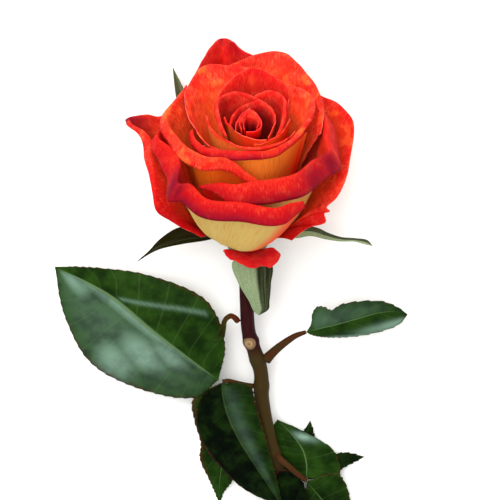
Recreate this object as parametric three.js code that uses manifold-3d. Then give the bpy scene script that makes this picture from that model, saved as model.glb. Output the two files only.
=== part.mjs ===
// A cut rose lying on a flat surface, in millimetres, +Z up.
// The stem runs toward -Y, the bloom faces +Y and up, and z = 0 is the surface.

import * as THREE from "three";
import { ParametricGeometry } from "three/addons/geometries/ParametricGeometry.js";
import { mergeVertices } from "three/addons/utils/BufferGeometryUtils.js";
import Module from "manifold-3d";

const wasm = await Module();
wasm.setup();

// Driving dimensions
const bloomWidth = 80;
const hipLift = 19.5;
const stemEnd = -200;
const stemEndAcross = 23.5;
const stemRadius = 2.7;
const neckShare = 0.86;
const neckLength = 80;
const scarHeight = 0.5;
const scarLength = 1.6;
const cutSlant = 0.5;
const hipRadius = 8.2;
const hipDepth = 13;
const petalThickness = 0.55;
const leafThickness = 0.6;
const gap = 0.3;

// The sight line leans this much from straight down, and the bloom's axis stands this far off it
const sightLean = THREE.MathUtils.degToRad(20);
const axisTurn = THREE.MathUtils.degToRad(45);

// The view grid: its unit in millimetres, and the place of the petals' seat on it
const viewUnit = bloomWidth / 225;
const seatAcross = 247;
const seatDown = 234;

// The shift that puts the origin under the middle of the whole flower
const originShift = new THREE.Vector3(5.69, 67.24, -0.12);

const colours = {
  petal: 0xd9251c,
  sepal: 0x5d6b45,
  leaf: 0x1d3a14,
  stem: 0x4a2a20,
  stalk: 0x6b4a2c,
};

// Petals from the heart out. A rim is a list of [across, down, height]: a place on the view grid and
// the height along the bloom's axis. A petal leaves its base radius at the start angle and nears its
// rim at the end angle. The rim rolls outward by the roll, and the fold angle below level. A list of
// them runs along the rim.
const petals = [
  {
    name: "petal_heart_curl", base: 1.0, start: 88, end: 86,
    rim: [[256.5, 130.5, 53.5], [258.5, 126, 54.5], [256, 120.5, 55], [250.5, 118.5, 55.5],
      [246, 120.5, 55], [243.5, 124.5, 54.5], [243.5, 129, 54], [245, 131.5, 53.5]],
  },
  {
    name: "petal_heart_tip", base: 2.0, start: 85, end: 83,
    rim: [[246, 134.5, 54], [256, 134, 54.3], [261.5, 128, 55.5], [257.5, 118.5, 56.6],
      [249.5, 113, 57.8], [244, 118, 56.6], [240.5, 123, 55.8], [240, 128, 55], [242, 132, 54.5]],
  },
  {
    name: "petal_heart_wrap", base: 2.8, start: 84, end: 84,
    rim: [[235.5, 133, 54], [236.5, 126.5, 55], [239.5, 120.5, 56], [244.5, 115, 56.5], [250, 110.8, 57]],
  },
  {
    name: "petal_heart_front", base: 3.1, start: 82, end: 82,
    roll: [0.6, 0.8, 0.3, 0.2, 0.2, 0],
    rim: [[224.5, 120.5, 54], [227, 128, 54.5], [234, 133, 54.5], [245, 139.5, 55], [256, 142.8, 54.5],
      [266, 142.5, 54]],
  },
  {
    name: "petal_heart_back", base: 3.4, start: 82, end: 86,
    roll: [0.5, 1, 0.8, 0.3, 0.3, 0.5, 0.6, 0.5, 0],
    rim: [[230, 128, 54], [231.5, 120, 55.5], [239, 112, 56.5], [250, 106, 57], [262, 104, 56.5],
      [270, 110, 56], [274.5, 118, 55.5], [274.5, 127.5, 54.5], [268, 140, 54]],
  },
  {
    name: "petal_inner_fold", base: 3.8, start: 80, end: 84,
    roll: [0, 0.4, 0.6, 0.5, 0],
    rim: [[254, 147, 52.5], [263.5, 146.5, 53], [273, 142.5, 53.5], [283, 134, 54], [289.5, 120, 53.5]],
  },
  {
    name: "petal_inner_front", base: 4.1, start: 79, end: 84,
    roll: [0.6, 0.8, 0.6, 0.6, 0.8, 0.8, 0.6, 0],
    rim: [[206.5, 119, 52.5], [212.5, 135.5, 53], [224, 143.5, 53.5], [240, 150.5, 54], [255, 153, 54],
      [271, 150.5, 53.5], [286, 143, 53], [294, 134, 52.5]],
  },
  {
    name: "petal_inner_left", base: 4.2, start: 77, end: 80,
    roll: [0.8, 1.6, 2, 1.4, 0.8, 0.5, 0.3, 0],
    rim: [[226, 141, 54], [219, 129, 55], [215.8, 115, 55.8], [217, 103.5, 56.5], [226, 97, 56.5],
      [238, 95, 56.5], [250, 98, 56.3], [262, 103.5, 55]],
  },
  {
    name: "petal_inner_right", base: 4.4, start: 72, end: 78,
    roll: [0, 0, 0.5, 1.2, 1.8, 1.6, 0.8],
    rim: [[255, 98.5, 55], [266, 94, 55.5], [276.5, 94.5, 55.5], [284, 101.5, 55.5], [286, 113, 55.5],
      [285, 125, 55], [277.5, 138, 54]],
  },
  {
    name: "petal_back_middle", base: 4.8, start: 62, end: 54,
    rim: [[217, 104, 53.5], [226, 87, 56], [251, 71, 57], [270, 77, 56.5], [285, 87, 55],
      [288, 99, 52.5], [287, 113, 50.5]],
  },
  {
    name: "petal_right_ring", base: 5.1, start: 62, end: 56, fold: 30,
    roll: [0, 0, 0.8, 1.5, 1.6, 1.4, 1, 0],
    rim: [[289, 87, 55], [301, 92, 55.5], [311, 99, 55], [314, 113, 54], [305, 131, 53.5],
      [289, 147, 52.5], [271, 155, 52], [247, 158, 51.5]],
  },
  {
    name: "petal_left_ring", base: 5.3, start: 62, end: [54, 50, 50, 50, 56, 64, 70, 72],
    roll: [0, 0, 0, 0, 0, 0.4, 0.6, 0.5],
    rim: [[253, 71, 56], [229, 68, 56], [204, 68, 56], [187, 93, 55], [187, 110, 53.8],
      [194, 128, 52.8], [206, 146.5, 52], [221, 154.5, 51], [236, 157.5, 50]],
  },
  {
    name: "petal_front_ring", base: 5.6, start: 66, end: 80, fold: 50,
    roll: [2.2, 2.6, 3, 3.2, 3, 2.6, 2, 1.2, 0],
    rim: [[190, 136, 49.5], [192, 147, 50], [201, 156.5, 50.6], [217, 161.5, 51], [247, 163, 51.5],
      [271, 161, 51.5], [289, 150, 51.5], [302, 138, 51], [306, 135, 50.5]],
  },
  {
    name: "petal_back_right", base: 5.7, start: 45, end: [52, 48, 45, 45, 45, 48, 55, 60],
    rim: [[230, 67, 54], [254, 57, 54], [281, 53, 54], [298, 65, 54], [316, 91, 53], [322, 110, 52],
      [321, 131, 50], [318, 137, 49]],
  },
  {
    name: "petal_middle_left", base: 6.1, start: 36, end: [60, 56, 58, 64, 72, 74, 74, 74, 72],
    fold: [30, 30, 35, 45, 52, 55, 55, 55, 55],
    roll: [0, 1.5, 3.5, 4.5, 5, 5, 4.2, 3, 1],
    rim: [[200, 80, 51], [180, 97, 50], [161, 125, 48], [172, 149, 47.5], [186, 164, 47.5],
      [204, 173, 48], [228, 174, 47.5], [253, 187, 43], [272, 193, 39]],
  },
  {
    name: "petal_back_tall", base: 6.4, start: 30, end: 58,
    rim: [[187, 93, 53], [199, 69, 53.8], [209, 52, 54.4], [222, 38.5, 52.7], [233, 42, 53.2],
      [241, 51, 53.5], [256, 58, 51.5], [272, 66, 46]],
  },
  {
    name: "petal_front_right", base: 6.8, start: 34, end: 76, fold: 48,
    roll: [0.5, 4, 6, 8, 8, 8, 8, 8, 8, 7, 4, 0.5],
    rim: [[309, 88, 48], [321, 113, 47], [332, 131, 44.5], [337, 154, 41.5], [339.5, 170, 39.5],
      [323, 181, 40], [306, 195, 39], [281, 203, 39], [256, 207, 39], [231, 207, 39.5],
      [217, 196, 40.5], [200, 188, 41]],
  },
  {
    name: "petal_front_left", base: 7.1, start: 28, end: 76, fold: 45,
    roll: [1, 4, 7, 8, 7, 7, 6.5, 6.5, 6, 5, 2],
    rim: [[164, 131, 46], [153, 146, 44], [160, 164, 42], [169, 181, 40], [170.5, 202, 37],
      [182, 203, 37], [202, 219, 36], [240, 223, 36.5], [276, 226.5, 37], [291, 219, 37], [304, 208, 37]],
  },
  {
    name: "petal_outer_right", base: 7.4, start: 32,
    end: [55, 50, 50, 48, 46, 44, 42, 40, 34, 28, 26, 25, 20, 15, 12],
    rim: [[275, 72, 46], [303, 84, 46], [320, 97, 45.5], [335, 104, 44], [347, 115, 43],
      [352.5, 128, 41], [351, 149, 39], [347, 172, 36], [335, 199, 30], [325, 208, 26],
      [327.5, 211.5, 25], [323.5, 214, 23.5], [325, 223, 20], [306, 229, 15], [292, 241, 10]],
  },
  {
    name: "petal_outer_left", base: 7.7, start: 18, end: [55, 55, 55, 55, 50, 50, 45, 38, 28, 18, 12],
    fold: 30,
    roll: [0, 0, 1, 2, 2, 3, 3, 2, 1, 0, 0],
    rim: [[187, 86, 45], [165, 117, 43], [146, 117, 42], [126, 121, 39], [128, 126, 39], [142, 138, 39],
      [147, 160, 37], [152, 185, 33], [157, 210, 26], [176, 224, 17], [203, 237, 10]],
  },
  {
    name: "petal_guard", base: 8.1, start: 5, end: -25,
    rim: [[223, 251, 3], [229, 259, 1.5], [240, 263, 1], [252, 268, 0], [262, 266.5, 0], [271, 267, 0],
      [280, 255, 2], [276, 250, 3]],
  },
];

// Leaves and sepals: both edges and the midrib run from base to tip, as [across, down, lift]
// with the lift above the surface, or [across, down, height] along the axis for the sepals.
const sepals = [
  {
    name: "sepal_left", base: [223, 236, -1], tip: [137, 261.5, -10],
    left: [[205, 228, -1], [179, 227.5, -3], [158, 240.5, -7], [148, 251.5, -9]],
    rib: [[205, 234, -2], [180, 236, -4], [158, 245.5, -8], [148, 253, -9.5]],
    right: [[205, 240.5, -3], [182, 244, -5], [159, 249.5, -9], [148, 254.5, -10]],
  },
  {
    name: "sepal_right", base: [271, 236, -1], tip: [373.5, 246, -8],
    left: [[297, 226, -1], [317, 227.5, -2], [329, 233, -3.5], [342, 237.3, -4.5],
      [355, 238.3, -5.5], [368, 240, -6.8]],
    rib: [[297, 232, -2], [313, 231.5, -3], [326, 235.5, -4.5], [341, 239, -5.5],
      [355, 239.8, -6.3], [366, 242.2, -7.4]],
    right: [[297, 238, -3], [311, 236, -4], [325, 239, -5.5], [341, 241.2, -6.3],
      [355, 241.3, -7], [364, 244, -7.8]],
  },
  {
    name: "sepal_back_left", base: [231, 223, -1], tip: [173, 68, 45],
    left: [[215, 211, 1], [200, 183, 8], [185, 143, 20], [176, 95, 37]],
    rib: [[223, 210, 0], [209, 182, 7], [193, 142, 19], [181, 95, 36]],
    right: [[231, 208, 1], [218, 181, 8], [201, 141, 20], [186, 95, 37]],
  },
  {
    name: "sepal_back_right", base: [263, 223, -1], tip: [306, 124, 30],
    left: [[264, 208, 1], [278, 183, 8], [294, 147, 20]],
    rib: [[272, 210, 0], [287, 184, 7], [301, 147, 19]],
    right: [[280, 212, 1], [296, 186, 8], [308, 148, 20]],
  },
  {
    name: "sepal_front", base: [251, 252.5, -0.6], tip: [259, 315.5, -30],
    left: [[232.5, 262, -6], [238.5, 283, -15], [249, 301, -23], [254, 311.5, -28]],
    rib: [[255, 264, -5], [257.5, 283, -14], [260, 300, -22], [261.5, 310, -27]],
    right: [[271.5, 264, -6], [271, 283, -15], [269.5, 301, -23], [268, 310, -28]],
  },
];

const leaves = [
  {
    name: "bract", base: [239.5, 321.5, 11.5], tip: [213, 343, 12.5],
    left: [[236.5, 316.5, 12.3], [230.5, 314, 13], [223.5, 318.5, 13.5], [220, 327, 13.5],
      [216.5, 336, 13.2]],
    rib: [[236.5, 320, 12.5], [230.5, 316.8, 13], [225, 320, 13.3], [222.5, 328.5, 13.2],
      [219.5, 338, 12.7]],
    right: [[236, 324, 12.5], [231, 319.3, 13], [227, 322, 13.5], [225.5, 331, 13.5],
      [223, 340, 13.1]],
  },
  {
    name: "right_leaf", base: [307, 333, 12.9], tip: [410.5, 315.5, 0.3],
    left: [[312, 325, 12.7], [313.5, 314, 12.2], [318, 307.8, 12.1], [325, 307.8, 12.3],
      [332, 311, 12.6], [342, 305.5, 12.3], [360, 302.3, 11], [384, 302.5, 7.8], [400, 308.5, 4]],
    rib: [[313, 331.5, 13.2], [317, 330.5, 13.4], [321, 329.5, 13.5], [326, 328.3, 13.6],
      [333, 326.8, 13.6], [342, 324.3, 13.1], [359, 319.5, 11.9], [381, 313.5, 8.4],
      [397, 312.5, 4.6]],
    right: [[311, 335, 12.5], [316, 336.5, 12.1], [322, 337.5, 11.8], [328, 338, 11.5],
      [336, 338.2, 11.3], [346, 338, 10.8], [362, 336.5, 9.5], [383, 332.3, 6.2], [402, 325, 3]],
  },
  {
    name: "left_leaflet_front", base: [221, 385, 12.8], tip: [284, 515, 11.5],
    left: [[200, 402, 11.5], [195.5, 424, 10.8], [202.5, 448, 10.3], [221, 473, 10],
      [244, 495, 10]],
    rib: [[223, 402, 14.2], [229.5, 424, 14.8], [241, 447, 14.3], [254, 468, 13.7],
      [271, 494, 12.7]],
    right: [[249, 388, 14.5], [256, 410, 14.6], [264, 437, 14.4], [271, 462, 14],
      [277.5, 487, 13.2]],
  },
  {
    name: "left_leaflet_big", base: [218, 382, 12.6], tip: [52, 267, 0.3],
    left: [[193, 400, 9], [140, 392, 6.5], [88, 365, 3], [61, 315, 1.5]],
    rib: [[184, 357, 13], [151, 332, 12.5], [111, 298, 8.5], [82, 281, 4]],
    right: [[224, 345, 11.5], [206, 302, 11.5], [148, 276, 8.5], [90, 268, 4]],
  },
  {
    name: "left_leaflet_behind", base: [220, 385.5, 11.7], tip: [219, 514, 0.4],
    left: [[192.5, 402, 8], [193.5, 424, 5.4], [200, 448, 3.6], [199, 465, 2.6], [208, 486, 1.4],
      [214, 500, 0.8]],
    rib: [[206, 405, 9], [210, 426, 7], [216, 448, 4.8], [221, 466, 3.6], [219, 486, 2.2],
      [218, 500, 1.2]],
    right: [[222, 408, 9], [230, 430, 7], [237, 450, 5], [240, 468, 3.8], [230, 490, 2.4],
      [222, 501, 1.4]],
  },
  {
    name: "lower_leaflet_top", base: [308, 484, 9.4], tip: [278, 424, 3.5],
    left: [[284, 478, 4.6], [273, 460, 4.2], [268, 441, 3.4]],
    rib: [[308, 470, 7.5], [304, 455, 6.5], [292, 438, 5]],
    right: [[341, 484, 5.6], [337, 458, 4.5], [308, 438, 4]],
  },
  {
    name: "lower_leaflet_left", base: [305, 489, 10.5], tip: [278, 552, 9.5],
    left: [[292, 477, 11.8], [278, 477, 11.7], [273, 512, 11]],
    rib: [[298, 506, 11.5], [288, 528, 10.7]],
    right: [[310, 512, 10.5], [302, 534, 9]],
  },
  {
    name: "lower_leaflet_right", base: [308.6, 487.6, 9.6], tip: [352, 545, 0.3],
    left: [[308, 508, 7.5], [322, 530, 4]],
    rib: [[322, 505, 8], [338, 524, 4.5]],
    right: [[340, 481, 7.2], [354, 512, 4]],
  },
  {
    name: "lower_leaflet_side", base: [308.2, 486, 8.9], tip: [368, 463, 0.5],
    left: [[326, 466, 3.4], [345, 459, 2]],
    rib: [[328, 476, 4.2], [345, 467, 2.4]],
    right: [[334, 481, 4], [350, 472, 2]],
  },
  {
    name: "lower_leaflet_tip", base: [307, 484, 8.2], tip: [312, 425, 1],
    left: [[298, 465, 4], [301, 446, 2.2]],
    rib: [[306, 462, 4.3], [308, 443, 2.6]],
    right: [[316, 462, 3.5], [316, 443, 2]],
  },
];

// Leaf stalks, from the stem's side outward, as [across, down, lift], with their radii at the stem
// and at the leaf
const stalks = [
  {
    name: "right_leaf_stalk", radius: 1.5, leafRadius: 0.7,
    path: [[266.5, 361, 10.2], [276, 351.5, 11.2], [286, 343.5, 12], [296, 337, 12.6],
      [305.5, 333, 12.8]],
  },
  {
    name: "left_leaf_stalk", radius: 0.8, leafRadius: 0.7,
    path: [[252.5, 389, 9.9], [240, 386, 11.2], [228, 383, 12.2], [222, 383.5, 12.6]],
  },
  {
    name: "lower_leaf_stalk", radius: 1.1, leafRadius: 0.9,
    path: [[277, 460, 9.6], [281, 464, 12.2], [288, 470, 13.2], [298, 479, 12.4], [307, 486, 9.8]],
  },
];

// The stem's centre line below the hip, as [across, down, lift]
const stemPath = [
  [246, 275, 11.9], [246.5, 300, 11.6], [249, 335, 10.7], [255, 354, 10.3], [261, 374, 9.9],
  [262, 400, 9.4], [268, 437, 8.8], [276, 468, 8.1], [285, 505, 7.4], [299, 620, 5.2],
];
const scarDown = 345;

// The two ways between the bloom's own frame and the view grid
const axisUp = Math.cos(axisTurn);
const axisNear = Math.sin(axisTurn);

// A place on the view grid at a height along the bloom's axis: [across, back, height] from the seat
function bloomPoint([across, down, height]) {
  const right = (across - seatAcross) * viewUnit;
  const up = (seatDown - down) * viewUnit;
  return new THREE.Vector3(right, (up - height * axisUp) / axisNear, height);
}

// From [across, back, height] about the seat to the lying flower
function layBloom(point) {
  const up = point.z * axisUp + point.y * axisNear;
  const near = point.z * axisNear - point.y * axisUp;
  return new THREE.Vector3(
    point.x,
    up * Math.cos(sightLean) + near * Math.sin(sightLean),
    hipLift - up * Math.sin(sightLean) + near * Math.cos(sightLean),
  ).add(originShift);
}

// A place on the view grid at a height above the surface
function lyingPoint([across, down, lift]) {
  const right = (across - seatAcross) * viewUnit;
  const up = (seatDown - down) * viewUnit;
  const along = (up + (lift - hipLift) * Math.sin(sightLean)) / Math.cos(sightLean);
  return new THREE.Vector3(right, along, lift).add(originShift);
}

// A parametric surface as a closed mesh: seams merged and flat triangles dropped
function closeSeams(geometry) {
  const bare = geometry.clone();
  bare.deleteAttribute("normal");
  bare.deleteAttribute("uv");
  const merged = mergeVertices(bare, 1e-3);
  const corners = merged.getIndex().array;
  const kept = [];
  for (let i = 0; i < corners.length; i += 3) {
    const [a, b, c] = [corners[i], corners[i + 1], corners[i + 2]];
    if (a !== b && b !== c && c !== a) kept.push(a, b, c);
  }
  merged.setIndex(kept);
  return merged;
}

function toSolid(geometry) {
  const mesh = new wasm.Mesh({
    numProp: 3,
    vertProperties: Float32Array.from(geometry.getAttribute("position").array),
    triVerts: Uint32Array.from(geometry.getIndex().array),
  });
  const solid = new wasm.Manifold(mesh);
  return solid.volume() < 0 ? toSolid(turnedInsideOut(geometry)) : solid;
}

function turnedInsideOut(geometry) {
  const turned = geometry.clone();
  const corners = Array.from(turned.getIndex().array);
  for (let i = 0; i < corners.length; i += 3) {
    [corners[i], corners[i + 1]] = [corners[i + 1], corners[i]];
  }
  turned.setIndex(corners);
  return turned;
}

function toGeometry(solid) {
  const mesh = solid.getMesh();
  const geometry = new THREE.BufferGeometry();
  geometry.setAttribute("position", new THREE.BufferAttribute(mesh.vertProperties, 3));
  geometry.setIndex(new THREE.BufferAttribute(mesh.triVerts, 1));
  return geometry;
}

// A thin sheet about a surface place(u, v): two faces that meet along its edges
function sheet(place, thickness, columns, rows) {
  const step = 1e-3;
  const facing = (u, v) => {
    const across = place(Math.min(u + step, 1), v).sub(place(Math.max(u - step, 0), v));
    const along = place(u, Math.min(v + step, 1)).sub(place(u, Math.max(v - step, 0)));
    return across.cross(along).normalize();
  };
  const face = (s, t, target) => {
    const u = s < 0.5 ? s * 2 : 2 - s * 2;
    const top = s < 0.5 ? 1 : -1;
    const inside = u > 0 && u < 1 && t > 0 && t < 1 ? 1 : 0;
    target.copy(place(u, t)).addScaledVector(facing(u, t), (inside * top * thickness) / 2);
  };
  return closeSeams(new ParametricGeometry(face, columns * 2, rows));
}

// The smooth step from 0 to 1 along a cubic with given end slopes
function cubic(from, to, leave, arrive, t) {
  const t2 = t * t;
  const t3 = t2 * t;
  return (
    (2 * t3 - 3 * t2 + 1) * from +
    (t3 - 2 * t2 + t) * leave +
    (3 * t2 - 2 * t3) * to +
    (t3 - t2) * arrive
  );
}

// A value that changes along a petal's rim: one number, or a list of them from its left to its right
function alongRim(value) {
  if (!Array.isArray(value)) return () => value;
  const curve = new THREE.CatmullRomCurve3(value.map((entry) => new THREE.Vector3(entry, 0, 0)));
  return (u) => curve.getPoint(u).x;
}

// A petal's surface: u runs along the rim, v from the claw at the seat out to the rim. It rises to
// a crest and rolls over it to the rim.
function petalSurface({ rim, base, start, end, roll = 0, fold = 45 }) {
  const edge = new THREE.CatmullRomCurve3(rim.map(bloomPoint));
  const rollAt = alongRim(roll);
  const foldAt = alongRim(fold);
  const endAt = alongRim(end);
  const middle = edge.getPoint(0.5);
  const facing = Math.atan2(middle.y, middle.x);
  const startTurn = THREE.MathUtils.degToRad(start);
  const clawShare = 0.4;
  const rimTuck = 0.15;

  return (u, v) => {
    const point = edge.getPoint(u);
    const rolled = Math.max(0, rollAt(u));
    const foldTurn = THREE.MathUtils.degToRad(foldAt(u));
    const endTurn = THREE.MathUtils.degToRad(endAt(u));
    const rimReach = Math.hypot(point.x, point.y);
    const reach = rimReach - rolled * Math.cos(foldTurn);
    const top = point.z + rolled * Math.sin(foldTurn);
    const turn = Math.atan2(point.y, point.x) - facing;
    const chord = Math.hypot(reach - base, top);
    const rollShare = (1.6 * rolled) / (1.6 * rolled + chord);
    const t = Math.min(v / (1 - rollShare), 1);
    const spread = clawShare + (1 - clawShare) * Math.sin((t * Math.PI) / 2);
    const azimuth = facing + Math.atan2(Math.sin(turn), Math.cos(turn)) * spread;
    let radius = cubic(base, reach, Math.cos(startTurn) * chord, Math.cos(endTurn) * chord, t);
    let height = cubic(gap, top, Math.sin(startTurn) * chord, Math.sin(endTurn) * chord, t);
    if (v > 1 - rollShare) {
      const over = (v - 1 + rollShare) / rollShare;
      const drop = -foldTurn - rimTuck * (endTurn + foldTurn);
      const pull = 1.5 * rolled;
      radius = cubic(reach, rimReach, Math.cos(endTurn) * pull, Math.cos(drop) * pull, over);
      height = cubic(top, point.z, Math.sin(endTurn) * pull, Math.sin(drop) * pull, over);
    }
    return new THREE.Vector3(radius * Math.cos(azimuth), radius * Math.sin(azimuth), height);
  };
}

function petalSheet(petal, padding) {
  const surface = petalSurface(petal);
  const laid = (u, v) => layBloom(surface(u, v));
  return toSolid(sheet(laid, petalThickness + 2 * padding, 12, 7));
}

// A leaf's surface between its left edge, midrib and right edge, which share their two ends
function leafSurface({ base, tip, left, rib, right }, toPlace) {
  const curve = (points) => new THREE.CatmullRomCurve3([base, ...points, tip].map(toPlace));
  const [leftEdge, midrib, rightEdge] = [curve(left), curve(rib), curve(right)];
  return (u, v) => {
    const edge = u < 0.5 ? leftEdge : rightEdge;
    return midrib.getPoint(v).lerp(edge.getPoint(v), Math.abs(2 * u - 1));
  };
}

function leafSheet(leaf, toPlace, padding) {
  return toSolid(sheet(leafSurface(leaf, toPlace), leafThickness + 2 * padding, 6, 13));
}

// A round rod along a curve, closed by a flat end at each end. Its radius is a function of the
// share of the length, and more of its rings stand near the start where crowding is above 1.
function rod(curve, radiusAt, sides, rows, crowding = 1, slant = 0) {
  const place = (s, t, target) => {
    const row = Math.round(t * (rows + 2)) - 1;
    const ring = Math.min(Math.max(row, 0), rows);
    const share = (ring / rows) ** crowding;
    const radius = row === ring ? radiusAt(share) : 0;
    const angle = 2 * Math.PI * s;
    const along = curve.getTangentAt(share);
    const side = new THREE.Vector3(0, 0, 1).cross(along).normalize();
    const over = along.clone().cross(side);
    target.copy(curve.getPointAt(share));
    target.addScaledVector(side, radius * Math.cos(angle));
    target.addScaledVector(over, radius * Math.sin(angle));
    if (ring === rows) target.addScaledVector(along, slant * radius * Math.sin(angle));
  };
  return toSolid(closeSeams(new ParametricGeometry(place, sides, rows + 2)));
}

// The hip and the stem in one: a cup under the petals that narrows to the stem, with a raised
// scar ring and a slanting cut at the far end
function makeStem(padding) {
  const seat = layBloom(new THREE.Vector3(0, 0, 0));
  const hipFoot = layBloom(new THREE.Vector3(0, 0, -hipDepth));
  const cutEnd = new THREE.Vector3(stemEndAcross, stemEnd, stemRadius + 0.05).add(originShift);
  const curve = new THREE.CatmullRomCurve3([seat, hipFoot, ...stemPath.map(lyingPoint), cutEnd]);
  const length = curve.getLength();
  const scarAlong = lyingPoint([250, scarDown, 10.5]).y;
  const radiusAt = (share) => {
    const fromSeat = share * length;
    const cup = fromSeat < hipDepth ? Math.cos((Math.PI / 2) * (fromSeat / hipDepth)) ** 1.2 : 0;
    const plain = stemRadius * THREE.MathUtils.lerp(neckShare, 1, Math.min(1, fromSeat / neckLength));
    const scar = scarHeight * Math.exp(-(((curve.getPointAt(share).y - scarAlong) / scarLength) ** 2));
    return plain + (hipRadius - plain) * cup + scar + padding;
  };
  return rod(curve, radiusAt, 12, 50, 1.6, cutSlant);
}

function makeStalk(stalk, padding) {
  const curve = new THREE.CatmullRomCurve3(stalk.path.map(lyingPoint));
  const radiusAt = (share) => THREE.MathUtils.lerp(stalk.radius, stalk.leafRadius, share * share);
  return rod(curve, (share) => radiusAt(share) + padding, 8, 6);
}

function largestPiece(solid) {
  const pieces = solid.decompose();
  return pieces.reduce((best, piece) => (piece.volume() > best.volume() ? piece : best));
}

function named(name, geometry, colour) {
  const look = new THREE.MeshStandardMaterial({ color: colours[colour], roughness: 0.6, metalness: 0 });
  const mesh = new THREE.Mesh(geometry, look);
  mesh.name = name;
  return mesh;
}

// Sub-parts of one kind: each one's name, its colour and a function that makes it, thicker all
// round by a padding
function partsOf(list, colour, makeOne) {
  return list.map((part) => ({ name: part.name, colour, make: (padding) => makeOne(part, padding) }));
}

const bloomPlace = (point) => layBloom(bloomPoint(point));

const subParts = [
  { name: "stem", colour: "stem", make: makeStem },
  ...partsOf(petals, "petal", petalSheet),
  ...partsOf(stalks, "stalk", makeStalk),
  ...partsOf(sepals, "sepal", (sepal, padding) => leafSheet(sepal, bloomPlace, padding)),
  ...partsOf(leaves, "leaf", (leaf, padding) => leafSheet(leaf, lyingPoint, padding)),
];

// Each sub-part is cut back where it would come nearer than the gap to one made before it
function makeAll() {
  const made = [];
  return subParts.map(({ name, colour, make }) => {
    const clear = made.reduce((rest, earlier) => rest.subtract(earlier), make(0));
    made.push(make(gap));
    return named(name, toGeometry(largestPiece(clear)), colour);
  });
}

const group = new THREE.Group();
group.add(...makeAll());

export default group;
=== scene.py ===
"""A cut rose lying on a pale floor: an open bloom, a bent neck and a stem with toothed leaves.

It is laid out as an add-on whose panel builds the flower part by part. Lengths are in metres, in
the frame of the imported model: +Y runs from the cut end toward the bloom, and +Z is up.
"""

import math

import bpy
import numpy as np
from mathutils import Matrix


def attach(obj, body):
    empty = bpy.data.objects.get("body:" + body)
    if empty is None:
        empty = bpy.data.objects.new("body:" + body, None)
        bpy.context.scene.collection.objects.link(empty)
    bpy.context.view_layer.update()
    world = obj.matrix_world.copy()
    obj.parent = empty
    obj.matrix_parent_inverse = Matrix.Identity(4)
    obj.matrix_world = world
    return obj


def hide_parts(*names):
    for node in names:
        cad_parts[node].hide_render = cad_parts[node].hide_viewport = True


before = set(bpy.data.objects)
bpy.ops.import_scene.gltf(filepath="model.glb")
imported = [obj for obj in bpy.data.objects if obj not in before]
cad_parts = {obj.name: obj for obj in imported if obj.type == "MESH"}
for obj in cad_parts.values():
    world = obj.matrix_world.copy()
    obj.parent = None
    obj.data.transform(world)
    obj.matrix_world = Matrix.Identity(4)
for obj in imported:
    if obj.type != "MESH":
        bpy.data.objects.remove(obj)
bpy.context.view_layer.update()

bl_info = {
    "name": "Cut Rose",
    "version": (1, 0, 0),
    "blender": (4, 5, 0),
    "location": "3D View > Sidebar > Rose",
    "description": "Builds a cut rose lying on a floor, part by part",
    "category": "Add Mesh",
}

MM = 0.001
UP = np.array([0, 0, 1.0])

# Nothing is divided by less than this
TINY = 1e-12

# The view grid: squares of the bloom's width over 225, seen along a line that leans from straight
# down, with the petals' seat at a set square and the bloom's axis turned off that line. The shift
# puts the origin on the floor, under the middle of the model's box.
BLOOM_WIDTH = 80 * MM
GRID = BLOOM_WIDTH / 225
GRID_MIDDLE = 250
GRID_SIZE = 500
SEAT_ACROSS = 247
SEAT_DOWN = 234
HIP_LIFT = 19.5 * MM
SIGHT_LEAN = math.radians(20)
AXIS_TURN = math.radians(45)
ORIGIN_SHIFT = np.array([5.69, 67.24, -0.12]) * MM

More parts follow.
